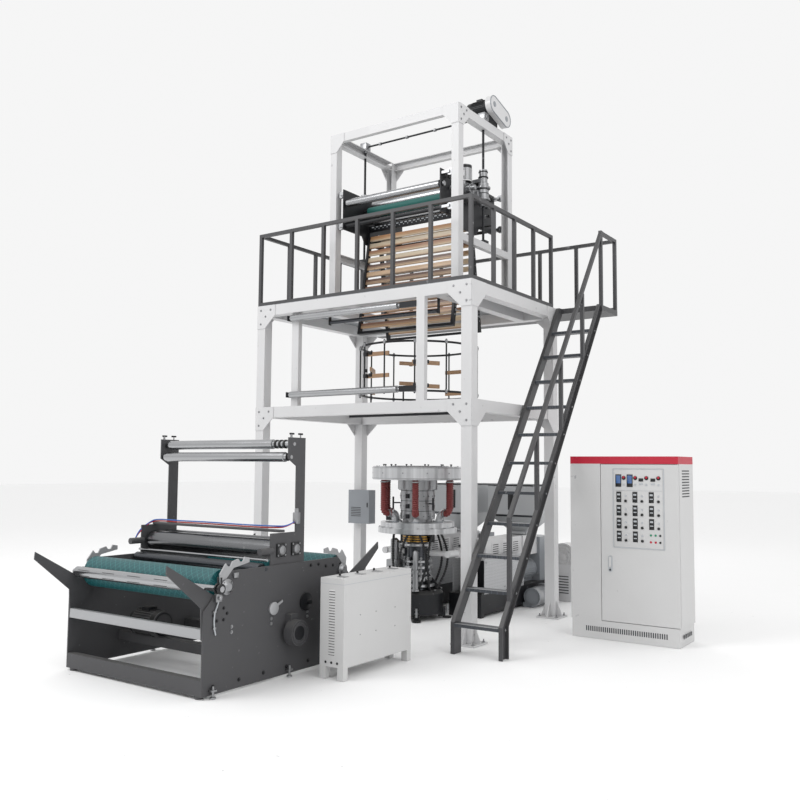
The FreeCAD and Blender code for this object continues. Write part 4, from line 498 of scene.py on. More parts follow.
@dataclass(frozen=True)
class ScoredFinish(Finish):
    """Rubber cover of a winding drum with lighter crossed scores."""

    middle: Point = (0.0, 0.0, 0.0)
    radius: float = 0.128
    pitch: float = 0.0619
    line: Colour = shade(58, 126, 128)
    width: float = 0.03

    def surface(self, wiring: Wiring) -> tuple[Any, Any, Any]:
        """Draws the scores as lighter, sunken lines."""
        score = wiring.use(SCORE, Middle=self.middle, Radius=self.radius, Pitch=self.pitch,
                           Width=self.width)
        mask = score.outputs["Mask"]
        colour, rough, _ = self.coated(wiring, wiring.mix(mask, (*self.colour, 1.0), (*self.line, 1.0)))
        return colour, rough, wiring.math("SUBTRACT", 1.0, mask)


@dataclass(frozen=True)
class SlatFinish(Finish):
    """Varnished slats of mixed timber."""

    top: float = 4.546
    pitch: float = 0.0908
    tones: tuple[Colour, ...] = field(default_factory=lambda: (
        shade(112, 80, 62), shade(150, 108, 80), shade(184, 154, 124), shade(212, 194, 166),
        shade(92, 66, 54), shade(176, 132, 94), shade(196, 180, 156)))
    worn_edge: Colour = shade(205, 176, 140)
    edge_share: float = 0.35

    def surface(self, wiring: Wiring) -> tuple[Any, Any, Any]:
        """Gives each slat its own timber, with paler worn edges."""
        slats = wiring.use(SLATS, Top=self.top, Pitch=self.pitch)
        ramp = wiring.node("ShaderNodeValToRGB")
        ramp.color_ramp.interpolation = "CONSTANT"
        for number, tone in enumerate(self.tones):
            at = number / len(self.tones)
            stop = ramp.color_ramp.elements[0] if number == 0 else ramp.color_ramp.elements.new(at)
            stop.position, stop.color = at, (*tone, 1.0)
        ramp.color_ramp.elements[-1].color = (*self.tones[-1], 1.0)
        wiring.feed(slats.outputs["Tone"], ramp.inputs[0])
        gain = wiring.math("MULTIPLY_ADD", slats.outputs["Grain"], 0.7, 0.66)
        grained = wiring.vector("SCALE", ramp.outputs[0], gain)
        share = wiring.math("MULTIPLY", slats.outputs["Edge"], self.edge_share)
        colour, rough, _ = self.coated(wiring, wiring.mix(share, grained, (*self.worn_edge, 1.0)))
        return colour, rough, slats.outputs["Grain"]


WHITE_PAINT = Finish("white_paint", "white_frame", shade(203, 203, 204), 0.42, scuff=0.10, coat=0.15)
DECK_SHEET = TreadFinish("deck_sheet", "deck_plate", shade(150, 153, 156), 0.45, 0.55)
DECK_DARK = TreadFinish("tread_dark", "dark_rail", shade(70, 73, 78), 0.45, 0.3, pitch=0.03)
DARK_PAINT = Finish("dark_paint", "dark_rail", shade(66, 66, 68), 0.45, scuff=0.16, bare=(0.2, 0.2, 0.21))
BLACK_OXIDE = Finish("black_oxide", "black_steel", shade(36, 37, 40), 0.42, 0.35, scuff=0.14,
                     bare=(0.12, 0.12, 0.13))
MIRROR_STEEL = Finish("mirror_steel", "polished_roller", shade(168, 169, 171), 0.24, 1.0, Grain.ALONG_X,
                      dust=0.05, scuff=0.0, relief=0.0001)
# A darker copy of the mirror steel: painted shade, for the darker look of the winder's front nip roller.
SHADED_MIRROR_STEEL = Finish("shaded_mirror_steel", "polished_roller", shade(118, 119, 121), 0.26, 1.0, Grain.ALONG_X,
                     dust=0.05, scuff=0.0, relief=0.0001)
DARK_METAL = Finish("dark_metal", "dark_roller", shade(78, 80, 84), 0.28, 0.85, Grain.ALONG_X, dust=0.1,
                    scuff=0.05)
GREEN_RUBBER = Finish("green_rubber_cover", "green_rubber", shade(30, 98, 92), 0.55, scuff=0.05,
                      bare=(0.1, 0.3, 0.2), dust=0.1)
LEVER_PAINT = Finish("lever_paint", "light_levers", shade(162, 163, 165), 0.4, 0.2, scuff=0.15)
BARE_METAL = Finish("bare_metal", "bare_steel", shade(156, 157, 159), 0.33, 0.95, Grain.ALONG_Z, scuff=0.05)
TURNED_METAL = TurnedFinish("turned_metal", "turned_aluminium", shade(206, 207, 209), 0.3, 0.9, mottle=0.02,
                            dust=0.1, scuff=0.0, relief=0.0001)
SLAT_TIMBER = SlatFinish("slat_timber", "slat_wood", shade(128, 78, 50), 0.42, scuff=0.0, coat=0.2,
                         relief=0.0004)
ARM_TIMBER = Finish("arm_timber", "slat_wood", shade(168, 134, 104), 0.5, grain=Grain.ALONG_Z, scuff=0.0)
DUCT_CLOTH = Finish("duct_cloth", "hose_cloth", shade(116, 50, 50), 0.62, mottle=0.12, scale=14.0, scuff=0.1,
                    bare=(0.3, 0.12, 0.11))
GREY_PAINT = Finish("grey_paint", "grey_housing", shade(138, 142, 147), 0.42, scuff=0.14, coat=0.1)
GUARD_SHEET = TreadFinish("guard_sheet", "tread_plate", shade(172, 173, 175), 0.34, 0.35, across=Y_AXIS,
                          along=Z_AXIS, pitch=0.038, scuff=0.04)
HOPPER_PAINT = Finish("hopper_paint", "grey_housing", shade(172, 174, 176), 0.4, scuff=0.08, coat=0.1)
WHITE_ENAMEL = Finish("white_enamel", "white_housing", shade(205, 205, 206), 0.35, coat=0.3)
WINDER_PAINT = Finish("winder_paint", "winder_grey", shade(73, 73, 75), 0.58, mottle=0.10, scale=5.0,
                      scuff=0.14, bare=(0.16, 0.16, 0.17), relief=0.0012)
CABINET_PAINT = Finish("cabinet_enamel", "cabinet_paint", shade(198, 198, 198), 0.4, mottle=0.03, scuff=0.05,
                       relief=0.0008)
RED_PAINT = Finish("red_enamel", "red_band", shade(180, 30, 54), 0.4, scuff=0.05, bare=(0.5, 0.1, 0.1))
BRASS = Finish("slip_ring_brass", "bare_steel", shade(188, 146, 74), 0.3, 1.0, Grain.ALONG_X, scuff=0.0)
BLACK_PLASTIC = Finish("black_plastic", "black_steel", shade(24, 25, 27), 0.38, mottle=0.08, scuff=0.05,
                       bare=(0.05, 0.05, 0.05))
SCREEN_BLUE = Finish("screen_blue", "cabinet_paint", shade(64, 96, 146), 0.2, mottle=0.15, scale=9.0,
                     scuff=0.0, dust=0.0, coat=0.6)
AIR_RED = Finish("air_tube_red", "black_steel", shade(190, 44, 40), 0.4, scuff=0.0)
AIR_BLUE = Finish("air_tube_blue", "black_steel", shade(40, 92, 170), 0.4, scuff=0.0)
BUTTON_GREEN = Finish("button_green", "cabinet_paint", shade(40, 130, 96), 0.35, scuff=0.0)
PANEL_GREY = Finish("panel_grey", "cabinet_paint", shade(176, 180, 184), 0.4, mottle=0.04, scuff=0.03)
# Near-black used both for real dark trim and as painted shade inside vent slots, louvre gaps and inlet slots.
DARK_TRIM_AND_SLOT_SHADE = Finish("dark_trim_and_slot_shade", "cabinet_paint", shade(52, 54, 58), 0.55)


class Shape:
    """Mesh of one piece, gathered part by part in the shared frame."""

    def __init__(self) -> None:
        """Starts an empty mesh."""
        self.bm = bmesh.new()

    def box(self, low: Point, high: Point, bevel: float = 0.0) -> "Shape":
        """Adds a block between two corners.

        Args:
            low: The lowest corner.
            high: The highest corner.
            bevel: How far its edges are rounded.

        Returns:
            This shape.
        """
        low, high = Vector(map(min, low, high)), Vector(map(max, low, high))
        size, middle = high - low, (high + low) / 2.0
        made = bmesh.ops.create_cube(self.bm, size=1.0)["verts"]
        for vert in made:
            vert.co = Vector(part * side for part, side in zip(vert.co, size)) + middle
        if bevel:
            edges = list({edge for vert in made for edge in vert.link_edges})
            bmesh.ops.bevel(self.bm, geom=edges, offset=bevel, segments=2, profile=0.5, affect="EDGES")
        return self

    def wall(self, near: Sequence[bmesh.types.BMVert], far: Sequence[bmesh.types.BMVert]) -> None:
        """Joins two closed rows of points by a band of faces."""
        for k in range(len(near)):
            after = (k + 1) % len(near)
            self.bm.faces.new((near[k], near[after], far[after], far[k]))

    def lathe(self, start: Point, axis: Point, profile: Iterable[Pair], sides: int = 28,
              loop: bool = False) -> "Shape":
        """Adds a turned form.

        Args:
            start: Where the axis starts.
            axis: Which way it runs.
            profile: Pairs of the way along the axis and the radius there.
            sides: How many sides it has.
            loop: Whether the profile closes on itself, as a ring's does.

        Returns:
            This shape.
        """
        turn = Vector(axis).to_track_quat("Z", "Y").to_matrix()
        rows = []
        for along, radius in profile:
            rows.append([self.bm.verts.new(turn @ Vector((x * radius, y * radius, along)) + Vector(start))
                         for x, y in spokes(sides)])
        pairs = list(zip(rows, rows[1:])) + ([(rows[-1], rows[0])] if loop else [])
        for near, far in pairs:
            self.wall(near, far)
        if not loop:
            self.bm.faces.new(rows[0][::-1])
            self.bm.faces.new(rows[-1])
        return self

    def rod(self, start: Point, end: Point, radius: float, sides: int = 20, chamfer: float = 0.12) -> "Shape":
        """Adds a round bar with chamfered ends between two points."""
        way = Vector(end) - Vector(start)
        cut = radius * chamfer
        profile = ((0.0, radius - cut), (cut, radius), (way.length - cut, radius), (way.length, radius - cut))
        return self.lathe(start, tuple(way.normalized()), profile, sides)

    def ring(self, start: Point, axis: Point, inner: float, outer: float, depth: float,
             sides: int = 40) -> "Shape":
        """Adds a flat ring with softened rims."""
        soft = min(depth, outer - inner) * 0.15
        profile = ((0.0, inner), (0.0, outer - soft), (soft, outer), (depth - soft, outer),
                   (depth, outer - soft), (depth, inner))
        return self.lathe(start, axis, profile, sides, loop=True)

    def bolt(self, at: Point, axis: Point, size: float = 0.012) -> "Shape":
        """Adds a hexagon head on its washer."""
        self.lathe(at, axis, ((0.0, size * 1.45), (size * 0.2, size * 1.45)), 14)
        tall = size * 0.2
        return self.lathe(at, axis, ((tall, size), (size * 0.8, size), (size * 0.95, size * 0.82)), 6)

    def plate(self, outline: Sequence[Point], push: Point) -> "Shape":
        """Adds a flat outline pushed out to a thickness."""
        near = [self.bm.verts.new(point) for point in outline]
        far = [self.bm.verts.new(Vector(point) + Vector(push)) for point in outline]
        self.bm.faces.new(near[::-1])
        self.bm.faces.new(far)
        self.wall(near, far)
        return self

    def sweep(self, path: Sequence[Point], radii: Sequence[float], sides: int = 14) -> "Shape":
        """Adds a round tube along a path with its own radius at each point.

        Args:
            path: The points of its centreline.
            radii: The radius at each of them.
            sides: How many sides it has.

        Returns:
            This shape.
        """
        points = [Vector(point) for point in path]
        side, rows = None, []
        for number, (point, radius) in enumerate(zip(points, radii)):
            way = (points[min(number + 1, len(points) - 1)] - points[max(number - 1, 0)]).normalized()
            side = way.orthogonal() if side is None else side - way * side.dot(way)
            side.normalize()
            across = way.cross(side)
            rows.append([self.bm.verts.new(point + radius * (x * side + y * across)) for x,
                         y in spokes(sides)])
        for near, far in zip(rows, rows[1:]):
            self.wall(near, far)
        self.bm.faces.new(rows[0][::-1])
        self.bm.faces.new(rows[-1])
        return self

    def done(self, name: str, finish: Finish, body: str = "root",
             stands_for: Sequence[str] = ()) -> bpy.types.Object:
        """Turns the gathered mesh into one dressed piece on its body.

        Args:
            name: The piece's name.
            finish: What it is finished in.
            body: The body that it moves with.
            stands_for: The nodes that it replaces.

        Returns:
            The piece.
        """
        bmesh.ops.recalc_face_normals(self.bm, faces=self.bm.faces[:])
        mesh = bpy.data.meshes.new(name)
        self.bm.to_mesh(mesh)
        self.bm.free()
        mesh.shade_smooth()
        mesh.set_sharp_from_angle(angle=CREASE)
        mesh.materials.append(finish.material())
        piece = bpy.data.objects.new(name, mesh)
        bpy.context.scene.collection.objects.link(piece)
        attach(piece, body)
        if stands_for:
            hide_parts(*stands_for)
        LOG.info("%s: %d faces on %s in %s", name, len(mesh.polygons), body, finish.name)
        return piece


def dress(finish: Finish, *nodes: str) -> None:
    """Gives CAD nodes a finish.

    Args:
        finish: The finish.
        *nodes: The nodes' names.
    """
    for name in nodes:
        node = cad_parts[name]
        if not node.material_slots:
            node.data.materials.append(None)
        for slot in node.material_slots:
            slot.material = finish.material()
        LOG.info("%s in %s", name, finish.name)


def islands(node: str) -> list[tuple[Vector, Vector]]:
    """Finds the separate solids of a node.

    Args:
        node: The node's name.

    Returns:
        The lowest and highest corner of each.
    """
    bm = bmesh.new()
    bm.from_mesh(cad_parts[node].data)
    bmesh.ops.remove_doubles(bm, verts=bm.verts[:], dist=0.00002)
    left, found = set(bm.verts), []
    while left:
        group, edge = [], [left.pop()]
        while edge:
            vert = edge.pop()
            group.append(vert.co.copy())
            for link in vert.link_edges:
                other = link.other_vert(vert)
                if other in left:
                    left.remove(other)
                    edge.append(other)
        found.append((Vector(map(min, zip(*group))), Vector(map(max, zip(*group)))))
    bm.free()
    return sorted(found, key=lambda pair: tuple(round(part, 3) for part in (*pair[0], *pair[1])))


@dataclass
class Motor:
    """One electric motor's fins, fan cover and terminal box over its CAD drum."""

    name: str
    start: Point
    axis: Point
    length: float
    radius: float
    up: Point = Z_AXIS
    finish: Finish = WHITE_ENAMEL
    cover: Finish = BLACK_PLASTIC
    body: str = "root"
    fins: int = 28
    cover_share: float = 0.2
    rib_deep: float = 0.07
    rib_thick: float = 0.03
    flange: float = 1.05
    box_half: float = 0.42
    grille: Floats = (0.2, 0.38, 0.56, 0.72)

    def build(self) -> None:
        """Builds the ribbed drum, the fan cover with its grille, and the box."""
        axis, start, up = Vector(self.axis), Vector(self.start), Vector(self.up)
        deep, thick = self.radius * self.rib_deep, self.radius * self.rib_thick
        ribs = Shape()
        turn = axis.to_track_quat("Z", "Y").to_matrix()
        low, high = self.length * 0.1, self.length * (1.0 - self.cover_share - 0.04)
        for x, y in spokes(self.fins):
            out = turn @ Vector((x, y, 0.0))
            side = axis.cross(out) * thick
            root, tip = out * (self.radius * 0.98), out * (self.radius + deep)
            corners = [start + axis * low + root - side, start + axis * low + tip - side,
                       start + axis * high + tip - side, start + axis * high + root - side]
            ribs.plate([tuple(corner) for corner in corners], tuple(side * 2.0))
        flange = self.radius * self.flange
        ribs.lathe(tuple(start), self.axis, ((0.0, flange), (self.length * 0.05, flange),
                                             (self.length * 0.08, self.radius * 0.99)), 32)
        middle = start + axis * (self.length * 0.42) + up * self.radius
        wide, side = self.radius * self.box_half, axis.cross(up)
        block = [middle + side * wide * a + axis * wide * b for a, b in CORNERS]
        ribs.plate([tuple(corner - up * deep) for corner in block], tuple(up * (self.radius * 0.3)))
        ribs.done(f"{self.name}_ribs", self.finish, self.body)
        cover = Shape()
        back = start + axis * (self.length * (1.0 - self.cover_share))
        deep_cover = self.length * self.cover_share
        cover.lathe(tuple(back), self.axis,
                    ((0.0, self.radius * 1.03), (deep_cover * 0.75, self.radius * 1.03),
                     (deep_cover, self.radius * 0.9), (deep_cover, self.radius * 0.8),
                     (deep_cover * 0.86, self.radius * 0.78)), 36)
        face = back + axis * (deep_cover * 0.86)
        for share in self.grille:
            cover.ring(tuple(face), self.axis, self.radius * share, self.radius * (share + 0.06),
                       deep_cover * 0.12, 28)
        cover.done(f"{self.name}_cover", self.cover, self.body)


@dataclass
class Tower:
    """The white tower with its bolted gussets and foot plates."""

    post_x: Pair = (-1.56, 1.24)
    post_y: float = 0.955
    foot_pitch: float = 0.105
    foot_top: float = 0.016
    bolt: float = 0.009
    anchor: float = 0.013
    stud: Pair = (0.03, 0.007)
    gusset_spots: Pairs = ((0.22, 0.2), (0.75, 0.2), (0.22, 0.8), (0.48, 0.48))

    def dress(self) -> None:
        """Paints the steelwork."""
        dress(WHITE_PAINT, "tower_posts", "middle_beams", "deck_beams", "knee_plates", "middle_posts",
              "upper_frame")
        dress(DECK_SHEET, "deck_plates")

    def gusset_bolts(self) -> None:
        """Puts bolts on each gusset, in its corner and along both arms."""
        bolts = Shape()
        for low, high in islands("knee_plates"):
            size, middle = high - low, (high + low) / 2.0
            flat = 0 if size.x < size.y else 1
            run = 1 - flat
            centre = (self.post_x[0] + self.post_x[1]) / 2.0 if run == 0 else 0.0
            inward = 1.0 if middle[run] < centre else -1.0
            corner = low[run] if inward > 0 else high[run]
            outward = 1.0 if middle[flat] > (centre if flat == 0 else 0.0) else -1.0
            wide, tall = size[run], size.z
            for along, down in self.gusset_spots:
                at = [0.0, 0.0, high.z - tall * down]
                at[run] = corner + inward * wide * along
                at[flat] = high[flat] if outward > 0 else low[flat]
                axis = [0.0, 0.0, 0.0]
                axis[flat] = outward
                bolts.bolt(tuple(at), tuple(axis), min(self.bolt, wide * 0.06))
        bolts.done("gusset_bolts", BARE_METAL)

    def foot_bolts(self) -> None:
        """Puts four anchor bolts through each foot plate."""
        bolts = Shape()
        for x in self.post_x:
            for y in (-self.post_y, self.post_y):
                for dx, dy in CORNERS:
                    at = (x + dx * self.foot_pitch, y + dy * self.foot_pitch, self.foot_top)
                    bolts.bolt(at, Z_AXIS, self.anchor)
                    bolts.rod(at, (at[0], at[1], self.foot_top + self.stud[0]), self.stud[1], 10)
        bolts.done("tower_anchor_bolts", BARE_METAL)

    def build(self) -> None:
        """Dresses the tower and adds its bolts."""
        self.dress()
        self.gusset_bolts()
        self.foot_bolts()


@dataclass
class LiftGear:
    """Screws, cross shaft, bevel boxes, motor and chain guard on top."""

    screws: Pair = (-0.815, 0.865)
    box_low: float = 5.65
    box_high: float = 5.74
    half: float = 0.045
    shaft_z: float = 5.695
    guard_face: float = 0.98
    guard: Pairs = ((0.06, 5.85), (0.35, 5.775))
    guard_radius: float = 0.1
    guard_lean: float = 14.5
    skin: float = 0.003
    collar_x: Floats = (-0.6, -0.2, 0.2, 0.55)

    def dress(self) -> None:
        """Finishes the lift's CAD nodes."""
        dress(BLACK_OXIDE, "lift_screws", "lift_drive")
        dress(WHITE_ENAMEL, "chain_guard")

    def bevel_covers(self) -> None:
        """Puts silver covers and bolts on both bevel boxes."""
        covers, skin = Shape(), self.skin
        for x in self.screws:
            low, high = (x - self.half - skin, -self.half - skin, self.box_low + skin), (
                x + self.half + skin, self.half + skin, self.box_high + skin)
            covers.box(low, high, 0.006)
            for side in (-1.0, 1.0):
                covers.ring((x + side * (self.half + skin), 0.0, self.shaft_z), (side, 0.0, 0.0), 0.0115,
                            0.03, 0.012, 24)
            for y in (-0.03, 0.03):
                covers.bolt((x, y, self.box_high + skin), Z_AXIS, 0.006)
        covers.done("bevel_box_covers", BARE_METAL)
        collars = Shape()
        for x in self.collar_x:
            collars.ring((x, 0.0, self.shaft_z), X_AXIS, 0.0112, 0.019, 0.03, 20)
        for x in self.screws:
            collars.ring((x, 0.0, self.box_low - 0.03), Z_AXIS, 0.0142, 0.026, 0.03, 20)
        collars.done("lift_shaft_collars", BARE_METAL)

    def guard_rim(self) -> None:
        """Runs a grey rim and screws round the white chain guard."""
        rim, radius = [], self.guard_radius - 0.004
        for (y, z), half in zip(self.guard, (1, 0)):
            for step in range(13):
                angle = math.radians(15.0 * step + (90.0 if half else -90.0) - self.guard_lean)
                rim.append((self.guard_face, y + math.cos(angle) * radius, z + math.sin(angle) * radius))
        rim.append(rim[0])
        Shape().sweep(rim, [0.006] * len(rim), 8).done("chain_guard_rim", GREY_PAINT)
        screws = Shape()
        for y, z in self.guard:
            screws.lathe((self.guard_face, y, z), X_AXIS, ((0.0, 0.032), (0.004, 0.03), (0.006, 0.012)), 24)
        screws.done("chain_guard_hubs", GREY_PAINT)

    def build(self) -> None:
        """Dresses the lift and adds its fittings."""
        self.dress()
        self.bevel_covers()
        self.guard_rim()
        Motor("lift_motor", (0.90, 0.06, 5.828), MINUS_X, 0.24, 0.088, finish=BLACK_OXIDE).build()


@dataclass
class HaulOff:
    """The sliding nip unit: plates, rollers, drive and its small knobs."""

    body: str = "haul_off"
    plate_x: float = 0.677
    band_z: Pair = (4.580, 4.638)
    band_y: Pair = (-0.112, -0.102)
    nuts: Pair = (-0.815, 0.865)
    star_spots: Pairs = ((-0.49, 4.90), (0.47, 4.90), (-0.47, 4.60))
    guide_at: Pair = (-0.56, 4.81)
    nip_y: Pair = (-0.0755, 0.0805)
    nip_z: float = 4.88
    case_face: float = 0.777
    face_half: float = 0.60
    dashes: int = 21
    dash_pitch: float = 0.06
    board_top: Pair = (0.095, 4.56)
    board_foot: Pair = (0.30, 3.28)
    slats: int = 13
    slat_start: float = 0.06
    slat_pitch: float = 0.092
    rail_face: float = 0.6605
    rod_z: float = 3.46

    def dress(self) -> None:
        """Finishes the nip unit's CAD nodes."""
        dress(BLACK_OXIDE, "nip_frame", "board_rails")
        dress(BARE_METAL, "nip_carriage", "nip_drive")
        dress(MIRROR_STEEL, "nip_steel_roller", "haul_off_guide_roller")
        dress(GREEN_RUBBER, "nip_rubber_roller")
        dress(SLAT_TIMBER, "board_slats")

    def knobs(self) -> None:
        """Adds star knobs, small silver knobs and roller caps on both plates."""
        stars, stems = Shape(), Shape()
        for side in (-1.0, 1.0):
            x = side * self.plate_x
            for y, z in self.star_spots:
                stems.rod((x, y, z), (x + side * 0.03, y, z), 0.007, 12)
                hub = (x + side * 0.03, y, z)
                stars.lathe(hub, (side, 0.0, 0.0), ((0.0, 0.016), (0.012, 0.018), (0.016, 0.012)), 18)
                for across, up in spokes(5):
                    lobe = (hub[0], y + 0.018 * across, z + 0.018 * up)
                    stars.lathe(lobe, (side, 0.0, 0.0), ((0.0, 0.008), (0.012, 0.008), (0.015, 0.005)), 10)
            stems.rod((x, *self.guide_at), (x + side * 0.02, *self.guide_at), 0.03, 20)
            stems.rod((x, -0.36, 4.72), (x + side * 0.04, -0.36, 4.72), 0.018, 16)
            for y in self.nip_y:
                start = x if side < 0 else self.case_face
                stems.lathe((start, y, self.nip_z), (side, 0.0, 0.0),
                            ((0.0, 0.045), (0.012, 0.045), (0.016, 0.03),
                       (0.03, 0.026)), 26)
        stars.done("nip_star_knobs", BLACK_PLASTIC, self.body)
        stems.done("nip_knob_stems", BARE_METAL, self.body)

    def nut_flanges(self) -> None:
        """Puts black flange rings and bolts on the two lifting nuts."""
        rings, bolts = Shape(), Shape()
        for x in self.nuts:
            rings.ring((x, 0.0, 4.985), Z_AXIS, 0.0465, 0.058, 0.014, 30)
            rings.ring((x, 0.0, 5.05), Z_AXIS, 0.0465, 0.054, 0.012, 30)
            for across, along in spokes(6):
                bolts.bolt((x + 0.036 * across, 0.036 * along, 5.08), Z_AXIS, 0.005)
        rings.done("lift_nut_flanges", BLACK_OXIDE, self.body)
        bolts.done("lift_nut_bolts", BARE_METAL, self.body)

    def band(self) -> None:
        """Hangs the dark perforated band with its light dashes above the boards."""
        low, high = self.band_z
        strip = Shape().box((-0.664, self.band_y[0], low), (0.664, self.band_y[1], high), 0.002)
        strip.box((-0.664, self.band_y[0] + 0.001, low - 0.012), (0.664, self.band_y[1] + 0.03, low), 0.002)
        strip.done("boards_head_band", BLACK_OXIDE, self.body)
        dashes = Shape()
        for step in range(self.dashes):
            x = -self.face_half + step * self.dash_pitch
            dashes.box((x - 0.016, self.band_y[0] - 0.002, high - 0.026),
                       (x + 0.016, self.band_y[0] + 0.001, high - 0.014))
            dashes.lathe((x + self.dash_pitch / 2.0, self.band_y[0] + 0.0005, low + 0.016), MINUS_Y,
                         ((0.0, 0.007), (0.002, 0.006)), 10)
        dashes.done("boards_band_dashes", PANEL_GREY, self.body)

    def idle_rollers(self) -> None:
        """Adds the green press roller and the lower silver roller between the plates."""
        span = self.plate_x - 0.012
        for name, finish, y, z, radius in (("nip_press_roller", GREEN_RUBBER, -0.19, 4.79, 0.05),
                                           ("nip_lower_roller", MIRROR_STEEL, -0.06, 4.70, 0.054)):
            roller = Shape().rod((-self.face_half, y, z), (self.face_half, y, z), radius, 40, 0.08)
            roller.done(name, finish, self.body)
            ends = Shape().rod((-span, y, z), (span, y, z), radius * 0.3, 16)
            for side in (-1.0, 1.0):
                ends.lathe((side * self.face_half, y, z), (side, 0.0, 0.0),
                           ((0.0, radius * 0.9), (0.012, radius * 0.8)), 30)
                ends.lathe((side * 0.635, y, z), (side, 0.0, 0.0),
                           ((0.0, radius * 0.5), (0.028, radius * 0.5)), 20)
            ends.done(f"{name}_ends", BLACK_OXIDE, self.body)

    def gear_cluster(self) -> None:
        """Stacks the silver gear housings round the right-hand screw and plate."""
        steel, x = Shape(), self.nuts[1]
        steel.ring((x, 0.0, 4.70), Z_AXIS, 0.019, 0.062, 0.23, 36)
        steel.ring((x, 0.0, 4.73), Z_AXIS, 0.06, 0.078, 0.02, 36)
        steel.ring((x, 0.0, 4.86), Z_AXIS, 0.06, 0.082, 0.024, 36)
        steel.ring((x, 0.0, 4.66), Z_AXIS, 0.019, 0.045, 0.04, 30)
        steel.lathe((0.777, -0.06, 4.80), X_AXIS,
                    ((0.0, 0.06), (0.02, 0.06), (0.03, 0.05), (0.07, 0.045), (0.075, 0.03)), 32)
        steel.lathe((0.777, -0.20, 4.83), X_AXIS,
                    ((0.0, 0.045), (0.04, 0.045), (0.045, 0.03), (0.10, 0.028), (0.105, 0.02)), 28)
        steel.lathe((0.777, -0.20, 4.75), X_AXIS, ((0.0, 0.03), (0.06, 0.03), (0.065, 0.018)), 24)
        steel.box((0.679, 0.02, 4.74), (0.80, 0.13, 4.86), 0.01)
        steel.lathe((0.74, 0.13, 4.80), Y_AXIS, ((0.0, 0.045), (0.06, 0.045), (0.07, 0.03), (0.10, 0.028)),
                    28)
        steel.lathe((0.74, 0.075, 4.86), Z_AXIS, ((0.0, 0.04), (0.05, 0.04), (0.06, 0.025), (0.09, 0.022)),
                    26)
        steel.lathe((0.68, -0.36, 4.66), X_AXIS, ((0.0, 0.032), (0.03, 0.032), (0.035, 0.02), (0.08, 0.018)),
                    24)
        for y, z in ((-0.30, 4.60), (-0.42, 4.80), (0.36, 4.66), (0.44, 4.80)):
            steel.lathe((0.677, y, z), X_AXIS, ((0.0, 0.02), (0.02, 0.02), (0.024, 0.012), (0.06, 0.011)), 20)
        steel.done("nip_gear_cluster", BARE_METAL, self.body)
        dark = Shape()
        for y, z, reach in ((-0.30, 4.60, 0.737), (-0.42, 4.80, 0.737), (0.36, 4.66, 0.737),
                            (-0.36, 4.66, 0.76)):
            dark.lathe((reach, y, z), X_AXIS, ((0.0, 0.018), (0.012, 0.020), (0.018, 0.012)), 18)
        for z in (4.716, 4.80, 4.845):
            dark.ring((x, 0.0, z), Z_AXIS, 0.0615, 0.066, 0.008, 36)
        dark.rod((0.69, -0.46, 4.50), (0.69, -0.46, 4.66), 0.008, 12)
        dark.rod((0.69, -0.42, 4.50), (0.69, -0.42, 4.64), 0.008, 12)
        dark.done("nip_cluster_knobs", BLACK_PLASTIC, self.body)

    def drive(self) -> None:
        """Dresses the right-hand gear case, its motor and its black knob."""
        Motor("nip_motor", (0.747, -0.1955, 4.91), Z_AXIS, 0.19, 0.07, up=MINUS_Y, finish=WHITE_ENAMEL,
              body=self.body, fins=22).build()
        case = Shape()
        for y in (-0.225, -0.0455):
            for z in (4.735, 4.885):
                case.bolt((0.777, y, z), X_AXIS, 0.007)
        case.lathe((0.777, -0.135, 4.80), X_AXIS,
                   ((0.0, 0.055), (0.010, 0.055), (0.016, 0.035), (0.022, 0.03)), 30)
        case.box((0.66, 0.24, 4.97), (0.72, 0.32, 5.03), 0.004)
        case.lathe((0.69, 0.28, 5.03), Z_AXIS, ((0.0, 0.026), (0.05, 0.026), (0.056, 0.02)), 20)
        case.done("nip_gear_details", BARE_METAL, self.body)
        tip = Shape().lathe((0.69, 0.28, 5.086), Z_AXIS, ((0.0, 0.02), (0.02, 0.024), (0.03, 0.016)), 18)
        tip.rod((0.677, 0.30, 4.52), (0.86, 0.30, 4.52), 0.009, 12)
        tip.done("nip_black_knob", BLACK_PLASTIC, self.body)

    def board_fittings(self) -> None:
        """Adds hinge blocks, rail screws and the adjusting rod of the boards."""
        (top_y, top_z), (foot_y, foot_z) = self.board_top, self.board_foot
        lean = math.atan2(foot_y - top_y, top_z - foot_z)
        screws, rod = Shape(), Shape()
        for side in (-1.0, 1.0):
            for end in (-1.0, 1.0):
                screws.lathe((side * self.rail_face, end * top_y, top_z), (side, 0.0, 0.0),
                             ((0.0, 0.02), (0.003, 0.018)), 18)
                for step in range(self.slats):
                    down = self.slat_start + self.slat_pitch * step
                    y = end * (top_y + math.sin(lean) * down)
                    at = (side * self.rail_face, y, top_z - math.cos(lean) * down)
                    screws.lathe(at, (side, 0.0, 0.0), ((0.0, 0.008), (0.003, 0.007), (0.004, 0.003)), 10)
            z = self.rod_z
            out = top_y + math.sin(lean) * (top_z - z)
            x = side * 0.668
            rod.rod((x, -out, z), (x, out, z), 0.006, 10)
            for y in (-out, -out * 0.55, out * 0.55, out):
                rod.lathe((x, y - 0.012, z), Y_AXIS,
                          ((0.0, 0.010), (0.004, 0.014), (0.02, 0.014), (0.024, 0.010)), 14)
        screws.done("board_rail_screws", BARE_METAL, self.body)
        rod.done("board_adjusting_rods", BARE_METAL, self.body)

    def build(self) -> None:
        """Dresses the haul-off and adds its fittings."""
        self.dress()
        self.knobs()
        self.nut_flanges()
        self.band()
        self.idle_rollers()
        self.gear_cluster()
        self.drive()
        self.board_fittings()


